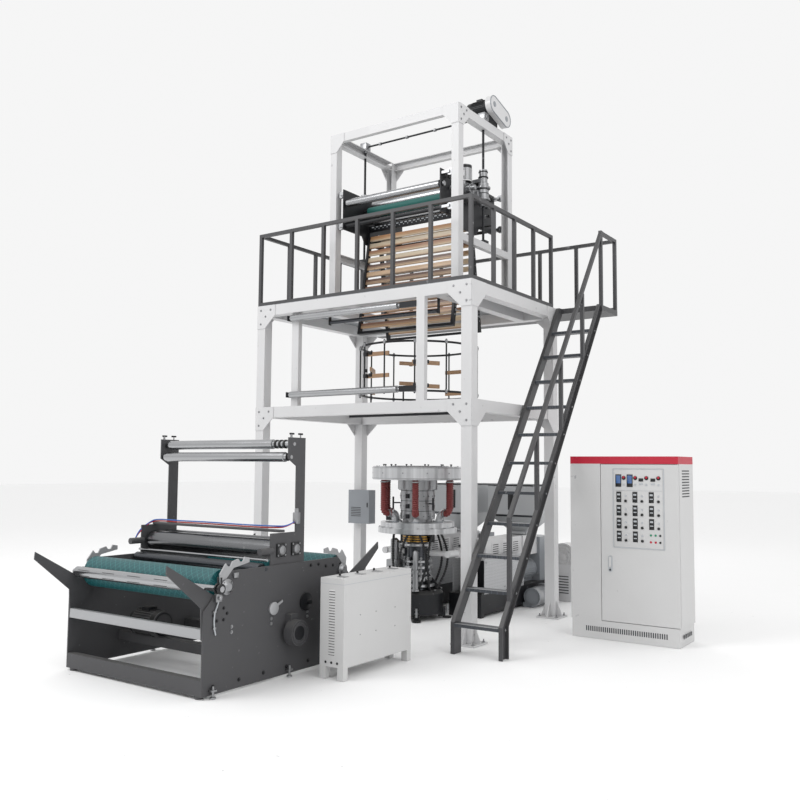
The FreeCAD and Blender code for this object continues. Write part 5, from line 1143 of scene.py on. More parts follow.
@dataclass
class BubbleCage:
    """The ring cage with its stabiliser arms, and the guide rollers."""

    rod_radius: float = 0.686
    rings: Pair = (2.55, 3.10)
    rods: int = 12
    clamp: Pair = (0.016, 0.04)

    def dress(self) -> None:
        """Finishes the cage, the arms and the guide rollers."""
        dress(BLACK_OXIDE, "cage_frame", "roller_brackets")
        dress(ARM_TIMBER, "cage_arms")
        dress(MIRROR_STEEL, "front_upper_roller", "front_lower_roller")
        dress(DARK_METAL, "deck_roller")

    def clamps(self) -> None:
        """Clamps each rod to both rings."""
        clamps = Shape()
        for x, y in spokes(self.rods):
            for z in self.rings:
                wide, tall = self.clamp
                at = (x * self.rod_radius, y * self.rod_radius, z - tall / 2.0)
                clamps.lathe(at, Z_AXIS, ((0.0, wide), (tall, wide)), 10)
                clamps.bolt((x * (self.rod_radius + 0.015), y * (self.rod_radius + 0.015), z), (x, y, 0.0),
                            0.005)
        clamps.done("cage_clamps", BARE_METAL)

    def arm_clips(self) -> None:
        """Clips each arm to its rod with a small metal block."""
        clips = Shape()
        for low, high in islands("cage_arms"):
            middle = (low + high) / 2.0
            out = Vector((middle.x, middle.y, 0.0)).normalized()
            at = out * self.rod_radius
            clips.box((at.x - 0.016, at.y - 0.016, middle.z - 0.02),
                      (at.x + 0.016, at.y + 0.016, middle.z + 0.02), 0.003)
        clips.done("arm_clips", BLACK_OXIDE)

    def build(self) -> None:
        """Dresses the cage and adds its clamps."""
        self.dress()
        self.clamps()
        self.arm_clips()


@dataclass
class DieColumn:
    """Die, air ring, air hoses, slip rings and the cast base on one axis."""

    hoses: int = 6
    hose_radius: float = 0.036
    bend_radius: float = 0.06
    mouth: Pair = (0.37, 1.19)
    hose_top: float = 1.57
    rib_pitch: float = 0.021
    air_ring_radius: float = 0.527
    air_ring_top: float = 1.724
    elbow_radius: float = 0.29
    elbow_bend: float = 0.08
    stand_top: float = 0.33
    foot_ring: float = 0.345
    first_foot: float = -57.5
    heater_levels: Floats = (1.12, 1.235, 1.35)
    slip_levels: Floats = (0.865, 0.891, 0.917)
    pipes: Pairs = ((-150.0, 0.145), (-100.0, 0.150), (-40.0, 0.145), (150.0, 0.145),
                                              (35.0, 0.145))
    conduit_turns: Floats = (-160.0, -128.0, -78.0, -52.0, -22.0, 15.0, 70.0, 120.0, 165.0)

    def dress(self) -> None:
        """Finishes the column's CAD nodes."""
        dress(TURNED_METAL, "air_ring", "rotating_flange")
        dress(BARE_METAL, "die_head")
        dress(DARK_METAL, "die_core")
        dress(BLACK_OXIDE, "die_stand")

    def air_lines(self) -> None:
        """Makes the ribbed dark-red hoses on their grey elbows."""
        ribs, elbows, clamps = Shape(), Shape(), Shape()
        radius, level = self.mouth
        reach = radius + self.bend_radius
        for out in spokes(self.hoses):
            line = [(radius - 0.03 + 0.004 * k, level) for k in range(8)]
            for step in range(1, 24):
                turn = math.radians(90.0 * step / 24.0)
                line.append((radius + math.sin(turn) * self.bend_radius,
                             level + (1.0 - math.cos(turn)) * self.bend_radius))
            top, low = self.hose_top, level + self.bend_radius
            count = int((top - low) / 0.004)
            line += [(reach, low + (top - low) * k / count) for k in range(count + 1)]
            path = [(out[0] * r, out[1] * r, z) for r, z in line]
            gone, radii, before = 0.0, [], line[0]
            for spot in line:
                gone += math.dist(before, spot)
                before = spot
                radii.append(self.hose_radius + 0.0048 * math.sin(math.tau * gone / self.rib_pitch))
            ribs.sweep(path, radii, 18)
            bend_z = level - self.elbow_bend
            bend = [(self.elbow_radius, 1.03), (self.elbow_radius, bend_z)]
            for step in range(1, 9):
                turn = math.radians(90.0 * step / 8.0)
                bend.append((radius - math.cos(turn) * self.elbow_bend,
                             bend_z + math.sin(turn) * self.elbow_bend))
            elbows.sweep([(out[0] * r, out[1] * r, z) for r, z in bend], [0.0355] * len(bend), 20)
            foot = (out[0] * self.elbow_radius, out[1] * self.elbow_radius, 1.088)
            elbows.ring(foot, Z_AXIS, 0.034, 0.05, 0.014, 24)
            for share_r, share_z, axis in ((radius - 0.012, level, (*out, 0.0)), (reach, top - 0.03, Z_AXIS)):
                at = (out[0] * share_r, out[1] * share_r, share_z)
                clamps.ring(at, axis, 0.034, 0.0425, 0.014, 24)
                clamps.box((at[0] - 0.006, at[1] - 0.045, at[2] + 0.002),
                           (at[0] + 0.006, at[1] - 0.034, at[2] + 0.012))
        ribs.done("ribbed_air_hoses", DUCT_CLOTH, stands_for=("air_hoses",))
        elbows.done("air_hose_elbows", GREY_PAINT)
        clamps.done("air_hose_clamps", BARE_METAL)

    def ring_knobs(self) -> None:
        """Rings the air ring's top with knobs and its rim with screws."""
        knobs, screws = Shape(), Shape()
        for x, y in spokes(12, 0.5):
            at = (x * 0.40, y * 0.40, self.air_ring_top)
            knobs.lathe(at, Z_AXIS,
                        ((0.0, 0.006), (0.012, 0.006), (0.014, 0.011), (0.022, 0.012), (0.025, 0.008)), 12)
            screws.bolt((x * 0.48, y * 0.48, self.air_ring_top), Z_AXIS, 0.007)
            edge = (x * self.air_ring_radius, y * self.air_ring_radius, 1.647)
            screws.lathe(edge, (x, y, 0.0), ((0.0, 0.009), (0.003, 0.008)), 12)
        for inner in (0.30, 0.215):
            screws.ring((0.0, 0.0, self.air_ring_top - 0.001), Z_AXIS, inner, inner + 0.018, 0.008, 64)
        for z in (1.585, 1.702):
            screws.ring((0.0, 0.0, z), Z_AXIS, self.air_ring_radius - 0.002, self.air_ring_radius + 0.003,
                        0.006, 96)
        knobs.done("air_ring_knobs", BLACK_PLASTIC)
        screws.done("air_ring_screws", BARE_METAL)

    def die_fittings(self) -> None:
        """Adds the die's bolts, handles, heater bands and the small dark box."""
        bolts, dark = Shape(), Shape()
        for x, y in spokes(16, 0.5):
            bolts.bolt((x * 0.211, y * 0.211, 1.458), (0.0, 0.0, -1.0), 0.007)
            bolts.bolt((x * 0.438, y * 0.438, 1.03), Z_AXIS, 0.009)
            bolts.bolt((x * 0.20, y * 0.20, 1.09), Z_AXIS, 0.008)
        for z in self.heater_levels:
            bolts.ring((0.0, 0.0, z), Z_AXIS, 0.194, 0.201, 0.07, 64)
            dark.ring((0.0, 0.0, z + 0.092), Z_AXIS, 0.193, 0.197, 0.006, 64)
            for x, y in spokes(20):
                dark.lathe((x * 0.200, y * 0.200, z + 0.035), (x, y, 0.0), ((0.0, 0.006), (0.004, 0.005)), 8)
            dark.box((-0.02, -0.222, z + 0.01), (0.02, -0.198, z + 0.06), 0.003)
        for side in (-1.0, 1.0):
            dark.rod((side * 0.19, -0.04, 1.30), (side * 0.275, -0.10, 1.30), 0.008, 12)
            dark.rod((side * 0.275, -0.10, 1.23), (side * 0.275, -0.10, 1.37), 0.011, 14)
        dark.box((-0.33, -0.17, 1.10), (-0.25, -0.09, 1.20), 0.005)
        bolts.done("die_bolts", BARE_METAL)
        dark.done("die_heater_bands", BLACK_OXIDE)

    def slip_rings(self) -> None:
        """Stacks brass slip rings and ribbed pipes round the core."""
        brass, insulation = Shape(), Shape()
        for z in self.slip_levels:
            brass.ring((0.0, 0.0, z), Z_AXIS, 0.160, 0.170, 0.014, 64)
        for z in (0.882, 0.908):
            insulation.ring((0.0, 0.0, z), Z_AXIS, 0.158, 0.167, 0.007, 64)
        for side in (-1.0, 1.0):
            insulation.box((side * 0.2 - 0.02, -0.03, 0.86), (side * 0.2 + 0.02, 0.03, 0.965), 0.004)
            insulation.box((side * 0.168, -0.008, 0.87), (side * 0.19, 0.008, 0.93))
        brass.done("slip_ring_bands", BRASS)
        insulation.done("slip_ring_brushes", BLACK_PLASTIC)
        ribbed = Shape()
        for angle, radius in self.pipes:
            x, y = math.cos(math.radians(angle)) * radius, math.sin(math.radians(angle)) * radius
            count = 56
            path = [(x, y, self.stand_top + 0.36 * k / count) for k in range(count + 1)]
            ribbed.sweep(path, [0.017 + 0.0022 * math.sin(k * 1.55) for k in range(count + 1)], 12)
        ribbed.done("core_ribbed_pipes", BARE_METAL)
        collars = Shape()
        for z, radius, tall in ((0.36, 0.21, 0.03), (0.42, 0.175, 0.05), (0.50, 0.165, 0.02),
                                (0.56, 0.182, 0.035), (0.63, 0.168, 0.025), (0.815, 0.18, 0.03)):
            collars.ring((0.0, 0.0, z), Z_AXIS, 0.118, radius, tall, 48)
            for x, y in spokes(12, 0.5):
                collars.bolt((x * (radius - 0.018), y * (radius - 0.018), z + tall), Z_AXIS, 0.006)
        collars.done("core_collars", TURNED_METAL)

    def base(self) -> None:
        """Adds cast ribs, bolts, conduits and levelling feet to the die stand."""
        ribs, feet = Shape(), Shape()
        for x, y in spokes(8, 0.5):
            out, side = Vector((x, y, 0.0)), Vector((-y, x, 0.0))
            root = [out * reach + Vector((0, 0, z))
                    for reach, z in ((0.10, 0.328), (0.29, 0.328), (0.12, 0.52), (0.10, 0.52))]
            ribs.plate([tuple(point - side * 0.007) for point in root], tuple(side * 0.014))
            feet.bolt(tuple(out * 0.27 + side * 0.06 + Vector((0, 0, self.stand_top))), Z_AXIS, 0.010)
        for step in range(4):
            angle = math.radians(self.first_foot + 90.0 * step)
            x, y = math.cos(angle) * self.foot_ring, math.sin(angle) * self.foot_ring
            feet.rod((x, y, 0.05), (x, y, 0.15), 0.012, 14)
            feet.bolt((x, y, 0.09), Z_AXIS, 0.016)
        ribs.done("stand_ribs", BLACK_OXIDE)
        self.conduits()
        feet.done("stand_feet_screws", BARE_METAL)

    def conduits(self) -> None:
        """Bows black ribbed conduits round the core and stands the turning motor beside it."""
        dark = Shape()
        for number, turned in enumerate(self.conduit_turns):
            low, high, bow = 0.335, 0.968, 0.05 + 0.02 * (number % 3)
            count, angle = 96, math.radians(turned)
            path, radii = [], []
            for k in range(count + 1):
                share = k / count
                radius = 0.235 + 0.045 * share + bow * math.sin(math.pi * share)
                swing = angle + 0.25 * math.sin(math.pi * share) * (1 if number % 2 else -1)
                path.append((math.cos(swing) * radius, math.sin(swing) * radius, low + (high - low) * share))
                radii.append(0.0135 + 0.0022 * math.sin(k * math.pi / 2.0))
            dark.sweep(path, radii, 10)
        dark.done("core_black_conduits", BLACK_PLASTIC)
        steel = Shape()
        for x, y, low, high, radius in ((-0.20, -0.17, 0.33, 0.90, 0.052), (-0.265, -0.03, 0.33, 0.80, 0.03),
                                        (0.13, -0.23, 0.33, 0.78, 0.034)):
            steel.lathe((x, y, low), Z_AXIS, ((0.0, radius * 1.35), (0.02, radius * 1.35), (0.022, radius),
                                              ((high - low) * 0.45, radius),
                                              ((high - low) * 0.46, radius * 1.3),
                                              ((high - low) * 0.52, radius * 1.3),
                                              ((high - low) * 0.53, radius * 0.9),
                                              (high - low - 0.02, radius * 0.9), (high - low, radius * 0.5)),
                        30)
        steel.box((-0.27, -0.24, 0.56), (-0.13, -0.10, 0.66), 0.008)
        steel.done("turning_motor", BARE_METAL)

    def build(self) -> None:
        """Dresses the column and adds its fittings."""
        self.dress()
        self.air_lines()
        self.ring_knobs()
        self.die_fittings()
        self.slip_rings()
        self.base()


@dataclass
class Extruders:
    """Two extruders with hoppers, gear cases, motors, guards and the blower."""

    lines: Pair = (-0.43, 0.43)
    cover_half: float = 0.1245
    cover_face: float = 0.128
    hopper_half: float = 0.325
    hopper_y: Pair = (1.50, 2.15)
    hopper_top: float = 1.5
    blower_at: Pair = (0.85, 0.56)
    blower_y: Pair = (2.15, 2.35)
    motor_z: float = 0.41
    side_motor_x: float = 0.774

    def dress(self) -> None:
        """Finishes the extruders' CAD nodes."""
        dress(BLACK_OXIDE, "extruder_beds")
        dress(WHITE_ENAMEL, "extruder_barrels", "cooling_blower")
        dress(GREY_PAINT, "extruder_drives", "junction_box")
        dress(HOPPER_PAINT, "hoppers")
        dress(GUARD_SHEET, "barrel_guards")

    def barrel_details(self) -> None:
        """Adds cover seams, air slots painted as thin dark strips of shade, heater bands and gear case bolts.
        """
        dark, steel, pale = Shape(), Shape(), Shape()
        for x in self.lines:
            for step in range(3):
                y = 0.86 + step * 0.26
                for side in (-1.0, 1.0):
                    pale.box((x + side * self.cover_half, y - 0.10, 0.66),
                             (x + side * self.cover_face, y + 0.10, 0.82), 0.001)
                # Each air slot is a thin dark strip of painted shade on the cover's side.
                for slot in range(5):
                    z = 0.685 + slot * 0.026
                    for side in (-0.1285, 0.1275):
                        dark.box((x + side, y - 0.07, z), (x + side + 0.001, y + 0.07, z + 0.010))
            for y in (0.22, 0.34, 0.46):
                steel.ring((x, y, 0.74), Y_AXIS, 0.058, 0.068, 0.08, 36)
                dark.box((x - 0.02, y + 0.015, 0.806), (x + 0.02, y + 0.065, 0.83), 0.003)
            for z in (0.34, 0.74):
                for dx in (-0.15, 0.15):
                    steel.bolt((x + dx, 1.96, z), MINUS_Y, 0.010)
                    steel.bolt((x + dx, 2.32, z), Y_AXIS, 0.010)
            steel.ring((x, 2.32, 0.62), Y_AXIS, 0.03, 0.085, 0.012, 36)
            for y in (0.42, 1.1, 1.7, 2.28):
                for side in (-0.19, 0.19):
                    steel.bolt((x + side, y, 0.26), Z_AXIS, 0.010)
        dark.done("barrel_slot_shade_and_dark_boxes", DARK_TRIM_AND_SLOT_SHADE)
        steel.done("barrel_heater_bands", BARE_METAL)
        pale.done("barrel_cover_doors", WHITE_ENAMEL)

    def hopper_details(self) -> None:
        """Adds rims, sight glasses, shut-off slides and dark cones."""
        rims, cones, glass = Shape(), Shape(), Shape()
        for x in self.lines:
            (front, back), half = self.hopper_y, self.hopper_half
            low, high = (x - half, front), (x + half, back)
            for y in (low[1], high[1] - 0.02):
                rims.box((low[0], y, self.hopper_top - 0.02), (high[0], y + 0.02, self.hopper_top), 0.002)
            for edge in (low[0], high[0] - 0.02):
                rims.box((edge, low[1], self.hopper_top - 0.02), (edge + 0.02, high[1], self.hopper_top),
                         0.002)
            corners = [(low[0], low[1], 1.12), (high[0], low[1], 1.12), (x + 0.09, 1.735, 0.9),
                       (x - 0.09, 1.735, 0.9)]
            cones.plate([(a, b - 0.003, c) for a, b, c in corners], (0.0, 0.003, 0.0))
            glass.box((x - 0.04, low[1] - 0.004, 1.18), (x + 0.04, low[1] - 0.0005, 1.42), 0.0012)
            rims.box((x - 0.10, 1.66, 0.868), (x + 0.10, 1.72, 0.892), 0.002)
        rims.done("hopper_rims", HOPPER_PAINT)
        cones.done("hopper_cones", DARK_METAL)
        glass.done("hopper_sight_glass", BLACK_PLASTIC)

    def motors(self) -> None:
        """Dresses the four drive motors."""
        for x, side in zip(self.lines, ("left", "right")):
            Motor(f"screw_motor_{side}", (x, 1.96, self.motor_z), MINUS_Y, 0.48, 0.13,
                  finish=GREY_PAINT).build()
            Motor(f"side_motor_{side}", (math.copysign(self.side_motor_x, x), 1.95, 0.13), MINUS_Y, 0.56,
                  0.108, finish=BARE_METAL, cover=BARE_METAL).build()
            small = (x, 0.36, 0.335)
            body = Shape().lathe(small, Y_AXIS, ((0.0, 0.052), (0.17, 0.052), (0.18, 0.03)), 28)
            body.box((x - 0.05, 0.38, 0.26), (x + 0.05, 0.50, 0.29), 0.003)
            body.done(f"pump_motor_{side}", WHITE_ENAMEL)
            cap = Shape().lathe(small, MINUS_Y, ((0.0, 0.055), (0.035, 0.053), (0.045, 0.044)), 28)
            cap.done(f"pump_motor_cap_{side}", BLACK_PLASTIC)

    def blower(self) -> None:
        """Adds the blower's grille rings, spokes and inlet slots, the slots as dark strips of painted shade.
        """
        rings, dark = Shape(), Shape()
        (x, z), (front, back) = self.blower_at, self.blower_y
        for radius in (0.165, 0.125, 0.09):
            rings.ring((x, front, z), MINUS_Y, radius - 0.012, radius, 0.008, 48)
            rings.ring((x, back, z), Y_AXIS, radius - 0.012, radius, 0.008, 48)
        rings.lathe((x, front, z), MINUS_Y, ((0.0, 0.05), (0.006, 0.048), (0.012, 0.02)), 36)
        for across, up in spokes(10):
            inner, outer = ((x + reach * across, 2.147, z + reach * up) for reach in (0.05, 0.16))
            rings.rod(inner, outer, 0.005, 8)
        rings.done("blower_rings", CABINET_PAINT)
        # Dark strips of painted shade for the inlet slots.
        for step in range(7):
            slot = 0.10 + step * 0.035
            dark.box((x - 0.09, 2.118, slot), (x + 0.09, 2.1215, slot + 0.012))
        dark.done("blower_inlet_slot_shade", DARK_TRIM_AND_SLOT_SHADE)

    def guard_trim(self) -> None:
        """Edges the tread-plate guards with screws."""
        trim = Shape()
        for low, high in islands("barrel_guards"):
            outer = high.x if low.x > 0.43 or -0.43 < low.x < 0.0 else low.x
            axis = X_AXIS if outer == high.x else MINUS_X
            for y in (low.y + 0.04, (low.y + high.y) / 2.0, high.y - 0.04):
                for z in (low.z + 0.04, high.z - 0.04):
                    trim.bolt((outer, y, z), axis, 0.008)
        trim.done("guard_screws", BARE_METAL)

    def junction(self) -> None:
        """Adds louvre lines, painted as dark strips of shade, and a lock to the junction box."""
        lines = Shape()
        for step in range(6):
            z = 1.06 + step * 0.022
            lines.box((-1.56, 0.7525, z), (-1.40, 0.7555, z + 0.008))
        lines.box((-1.30, 0.748, 1.18), (-1.285, 0.7555, 1.24), 0.002)
        lines.done("junction_box_louvre_shade_and_lock", DARK_TRIM_AND_SLOT_SHADE)

    def build(self) -> None:
        """Dresses the extruders and adds their fittings."""
        self.dress()
        self.barrel_details()
        self.hopper_details()
        self.motors()
        self.blower()
        self.guard_trim()
        self.junction()


@dataclass
class StairAndRails:
    """The dark stair, its treads and the tube railings."""

    highlight_depth: float = 0.02
    stringers: Pairs = ((1.32, -1.0), (1.86, 1.0))

    def dress(self) -> None:
        """Paints stair, treads and railings."""
        dress(DARK_PAINT, "stair_frame", "railing_front", "railing_sides", "landing_railing")
        dress(DECK_DARK, "stair_treads")

    def tread_edge_highlights(self) -> None:
        """Lays a light strip along each tread's front edge, a painted highlight where the edge catches the
        light.
        """
        highlight_strips, bolts = Shape(), Shape()
        for low, high in islands("stair_treads"):
            highlight_strips.box((low.x + 0.01, low.y, high.z - 0.002),
                      (high.x - 0.01, low.y + self.highlight_depth, high.z + 0.002), 0.0008)
            middle = (low.y + high.y) / 2.0
            for x, way in self.stringers:
                bolts.bolt((x, middle, (low.z + high.z) / 2.0), (way, 0.0, 0.0), 0.007)
        highlight_strips.done("tread_edge_highlights", LEVER_PAINT)
        bolts.done("tread_bolts", BARE_METAL)

    def build(self) -> None:
        """Dresses the stair and adds its painted highlight strips and bolts."""
        self.dress()
        self.tread_edge_highlights()


@dataclass
class Winder:
    """The two-drum film winder with its nip, mast, reel and fittings."""

    left: float = -0.96
    right: float = 0.68
    drums: Pair = (-3.665, -2.255)
    drum_z: float = 0.80
    drum_radius: float = 0.128
    nip_y: Pair = (-3.049, -2.871)
    nip_z: float = 1.03
    mast_rollers: Pairs = ((-2.90, 1.905), (-2.935, 1.795))
    mast_x: Pairs = ((-0.942, -1.0), (0.662, 1.0))
    reel_at: Pair = (-3.852, 0.8146)
    reel_face: float = 0.0445
    fan_at: Point = (0.80, -2.95, 0.36)
    sleeve_radius: float = 0.042
    motor_radius: float = 0.108

    def dress(self) -> None:
        """Finishes the winder's CAD nodes."""
        dress(WINDER_PAINT, "winder_sides", "winder_beams", "reel_arms", "winder_masts", "winder_drives")
        dress(LEVER_PAINT, "drum_levers")
        dress(SHADED_MIRROR_STEEL, "winder_nip_front")
        dress(MIRROR_STEEL, "mast_roller_high", "mast_roller_low", "reel_shaft")
        dress(DARK_METAL, "winder_nip_back", "spreader_roller")
        for y, node in zip(self.drums, ("winding_drum_front", "winding_drum_back")):
            cover = ScoredFinish(f"{node}_cover", "green_rubber", shade(10, 80, 84), 0.5, scuff=0.04,
                                 dust=0.1, bare=(0.08, 0.26, 0.2), middle=(0.0, y, self.drum_z),
                                 radius=self.drum_radius)
            dress(cover, node)

    def plate_bolts(self) -> None:
        """Sets bolts along the side plates, at beam ends and round the reel arms."""
        bolts, dark = Shape(), Shape()
        for x, way in ((self.left, -1.0), (self.right, 1.0)):
            axis = (way, 0.0, 0.0)
            for y in (-2.68, -2.58, -2.48, -2.38, -2.28):
                dark.bolt((x, y, 0.875 if y < -2.5 else 0.85), axis, 0.010)
            for step in range(7):
                dark.bolt((x, -3.78 + step * 0.27, 0.08), axis, 0.011)
            for y in (-3.60, -3.16, -2.72, -2.30):
                for dz in (0.452, 0.492):
                    bolts.bolt((x, y, dz), axis, 0.010)
            for along, up in spokes(6):
                dark.bolt((x, -3.72 + 0.07 * along, 0.60 + 0.05 * up), axis, 0.009)
            for y in self.drums:
                bolts.lathe((x, y, self.drum_z), axis,
                            ((0.0, 0.06), (0.014, 0.06), (0.02, 0.045), (0.034, 0.03)), 32)
                for along, up in spokes(4, 0.5):
                    dark.bolt((x + way * 0.014, y + 0.048 * along, self.drum_z + 0.048 * up), axis, 0.006)
        bolts.done("winder_beam_bolts", BARE_METAL)
        dark.done("winder_plate_bolts", BLACK_OXIDE)

    def right_plate_fittings(self) -> None:
        """Adds the light disc knob, the dark disc, the fan and the bracket."""
        x = self.right
        light, dark = Shape(), Shape()
        light.lathe((x, -3.143, 0.571), X_AXIS, ((0.0, 0.05), (0.016, 0.052), (0.022, 0.04), (0.024, 0.015)),
                    36)
        light.plate([(x + 0.012, -3.12, 0.60), (x + 0.012, -3.05, 0.63), (x + 0.012, -3.045, 0.615),
                     (x + 0.012, -3.115, 0.58)], (0.008, 0.0, 0.0))
        dark.lathe((x, -2.744, 0.578), X_AXIS,
                   ((0.0, 0.075), (0.014, 0.075), (0.02, 0.05), (0.03, 0.02), (0.06, 0.018)), 36)
        dark.box((x, -2.52, 0.60), (x + 0.012, -2.42, 0.70), 0.003)
        for y, z in ((-2.505, 0.615), (-2.435, 0.615), (-2.505, 0.685), (-2.435, 0.685)):
            light.bolt((x + 0.012, y, z), X_AXIS, 0.008)
        fan = Shape()
        for radius in (0.104, 0.085):
            fan.ring(self.fan_at, X_AXIS, radius - 0.01, radius, 0.008, 40)
        dark.lathe(self.fan_at, X_AXIS, ((0.0, 0.058), (0.004, 0.056), (0.006, 0.02)), 30)
        self.corner_valve()
        light.done("winder_right_discs", LEVER_PAINT)
        fan.done("winder_fan_rings", WINDER_PAINT)
        dark.done("winder_right_dark_discs", BLACK_OXIDE)

    def corner_valve(self) -> None:
        """Adds the silver valve at the front corner with its clipped grey tube."""
        x = self.right
        valve = Shape().box((x, -3.79, 0.70), (x + 0.03, -3.73, 0.76), 0.004)
        valve.lathe((x + 0.015, -3.76, 0.76), Z_AXIS, ((0.0, 0.014), (0.03, 0.014), (0.034, 0.009)), 16)
        valve.lathe((x + 0.03, -3.76, 0.73), X_AXIS, ((0.0, 0.018), (0.018, 0.018), (0.024, 0.01)), 18)
        for z in (0.62, 0.50):
            valve.box((x, -3.80, z), (x + 0.014, -3.77, z + 0.014), 0.002)
        valve.done("corner_valve", BARE_METAL)
        tube = [(x + 0.012, -3.75, 0.705), (x + 0.010, -3.765, 0.66), (x + 0.009, -3.785, 0.62),
                (x + 0.009, -3.79, 0.56), (x + 0.009, -3.785, 0.50), (x + 0.008, -3.77, 0.455)]
        Shape().sweep(tube, [0.006] * len(tube), 10).done("corner_tube", PANEL_GREY)

    def mast_fittings(self) -> None:
        """Adds wing screws, bearings, collars, roller sleeves, the beam cover and the light rod."""
        black, steel = Shape(), Shape()
        for x, way in self.mast_x:
            for y in (-2.93, -2.82):
                steel.rod((x, y, 1.96), (x, y, 1.985), 0.006, 10)
                black.box((x - 0.006, y - 0.028, 1.983), (x + 0.006, y + 0.028, 1.999), 0.004)
            steel.rod((x, -2.94, 1.955), (x, -2.94, 1.99), 0.007, 10)
            for y, z in self.mast_rollers:
                black.ring((x - way * 0.03, y, z), (way, 0.0, 0.0), 0.0125, 0.026, 0.02, 22)
            outer = x + way * 0.006
            for y in self.nip_y:
                black.box((outer, y - 0.055, 0.975), (outer + way * 0.014, y + 0.055, 1.085), 0.006)
                steel.lathe((outer + way * 0.014, y, self.nip_z), (way, 0.0, 0.0),
                            ((0.0, 0.038), (0.010, 0.036), (0.014, 0.02)), 28)
                for dy, dz in CORNERS:
                    steel.bolt((outer + way * 0.014, y + dy * 0.042, self.nip_z + dz * 0.042),
                               (way, 0.0, 0.0), 0.006)
        for body, (y, z), right in zip(("mast_high_roll", "mast_low_roll"), self.mast_rollers, (0.43, 0.60)):
            sleeve = Shape().rod((-0.88, y, z), (right, y, z), self.sleeve_radius, 36, 0.1)
            sleeve.done(f"{body}_sleeve", MIRROR_STEEL, body)
        for step in range(3):
            x = 0.56 - step * 0.05
            black.ring((x, -2.90, 1.905), X_AXIS, 0.0305, 0.038, 0.018, 26)
        black.done("mast_black_fittings", BLACK_PLASTIC)
        steel.done("mast_steel_fittings", BARE_METAL)
        front_beam = min((pair for pair in islands("winder_beams") if pair[0].z > 0.3),
                         key=lambda pair: pair[0].y)
        skin = Vector((0.0, 0.0015, 0.0015))
        cover = Shape().box(tuple(front_beam[0] - skin), tuple(front_beam[1] + skin), 0.0012)
        cover.done("winder_front_beam_cover", LEVER_PAINT)
        front = Shape().rod((-0.936, -3.19, 0.955), (0.656, -3.19, 0.955), 0.011, 16)
        front.done("winder_light_rod", MIRROR_STEEL)

    def reel_details(self) -> None:
        """Adds slots and the two black handles of the reel shaft."""
        slots, handles = Shape(), Shape()
        for start in (-0.84, -0.52, -0.20, 0.12):
            for along, up in spokes(6, 0.5):
                y, z = self.reel_at[0] + self.reel_face * along, self.reel_at[1] + self.reel_face * up
                slots.rod((start, y, z), (start + 0.15, y, z), 0.0028, 8)
        slots.done("reel_shaft_slots", BLACK_OXIDE, "reel")
        for x in (0.78, 0.815):
            handles.ring((x, *self.reel_at), X_AXIS, 0.021, 0.040, 0.014, 28)
            handles.rod((x + 0.007, self.reel_at[0], 0.85), (x + 0.007, self.reel_at[0], 0.90), 0.007, 12)
        handles.done("reel_shaft_handles", BLACK_PLASTIC, "reel")

    def air_lines(self) -> None:
        """Clips the red and blue air tubes along the nip frame."""
        for number, (finish, name) in enumerate(((AIR_RED, "air_tube_red"), (AIR_BLUE, "air_tube_blue"))):
            z, y = 1.205 + number * 0.016, -3.02 - number * 0.02
            path = [(-0.942, -3.23, 1.058), (-0.944, -3.20, 1.10 + number * 0.02), (-0.942, -3.08, 1.19),
                    (-0.90, y, z), (-0.60, y, z - 0.004), (-0.2, y, z), (0.2, y, z - 0.004), (0.60, y, z),
                    (0.66, -2.95, 1.22), (0.662, -2.86, 1.26)]
            curve = bpy.data.curves.new(name, "CURVE")
            curve.dimensions = "3D"
            curve.bevel_depth = 0.006
            curve.bevel_resolution = 3
            line = curve.splines.new("NURBS")
            line.points.add(len(path) - 1)
            for spot, point in zip(line.points, path):
                spot.co = (*point, 1.0)
            line.order_u = 3
            line.use_endpoint_u = True
            curve.materials.append(finish.material())
            piece = bpy.data.objects.new(name, curve)
            bpy.context.scene.collection.objects.link(piece)
            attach(piece, "root")
            LOG.info("%s in %s", name, finish.name)
        bar = Shape().box((-0.936, -3.05, 1.172), (0.656, -2.99, 1.192), 0.003)
        bar.done("nip_tube_bar", WINDER_PAINT)
        valve = Shape().box((0.645, -2.885, 1.235), (0.69, -2.835, 1.33), 0.004)
        valve.lathe((0.668, -2.86, 1.33), Z_AXIS, ((0.0, 0.018), (0.03, 0.018), (0.036, 0.012)), 20)
        valve.box((0.655, -3.60, 0.86), (0.70, -3.55, 0.90), 0.004)
        valve.done("mast_valve", BARE_METAL)

    def feet(self) -> None:
        """Sets round levelling feet under the plates' corners."""
        feet = Shape()
        for x, way in ((self.left, -1.0), (self.right, 1.0)):
            for y in (-3.80, -2.96, -2.12):
                at = x + way * 0.026
                feet.lathe((at, y, 0.0), Z_AXIS,
                           ((0.0, 0.024), (0.012, 0.022), (0.016, 0.009), (0.09, 0.009)), 18)
                feet.box((x, y - 0.025, 0.05), (x + way * 0.045, y + 0.025, 0.065), 0.002)
                feet.bolt((at, y, 0.065), Z_AXIS, 0.012)
        feet.done("winder_levelling_feet", BARE_METAL)

    def build(self) -> None:
        """Dresses the winder and adds its fittings."""
        self.dress()
        self.plate_bolts()
        self.right_plate_fittings()
        self.mast_fittings()
        self.reel_details()
        self.air_lines()
        self.feet()
        Motor("winder_motor_left", (-0.70, -3.36, 0.36), X_AXIS, 0.32, self.motor_radius,
              finish=BLACK_OXIDE).build()
        Motor("winder_motor_right", (0.17, -2.58, 0.36), MINUS_X, 0.32, self.motor_radius,
              finish=BLACK_OXIDE).build()


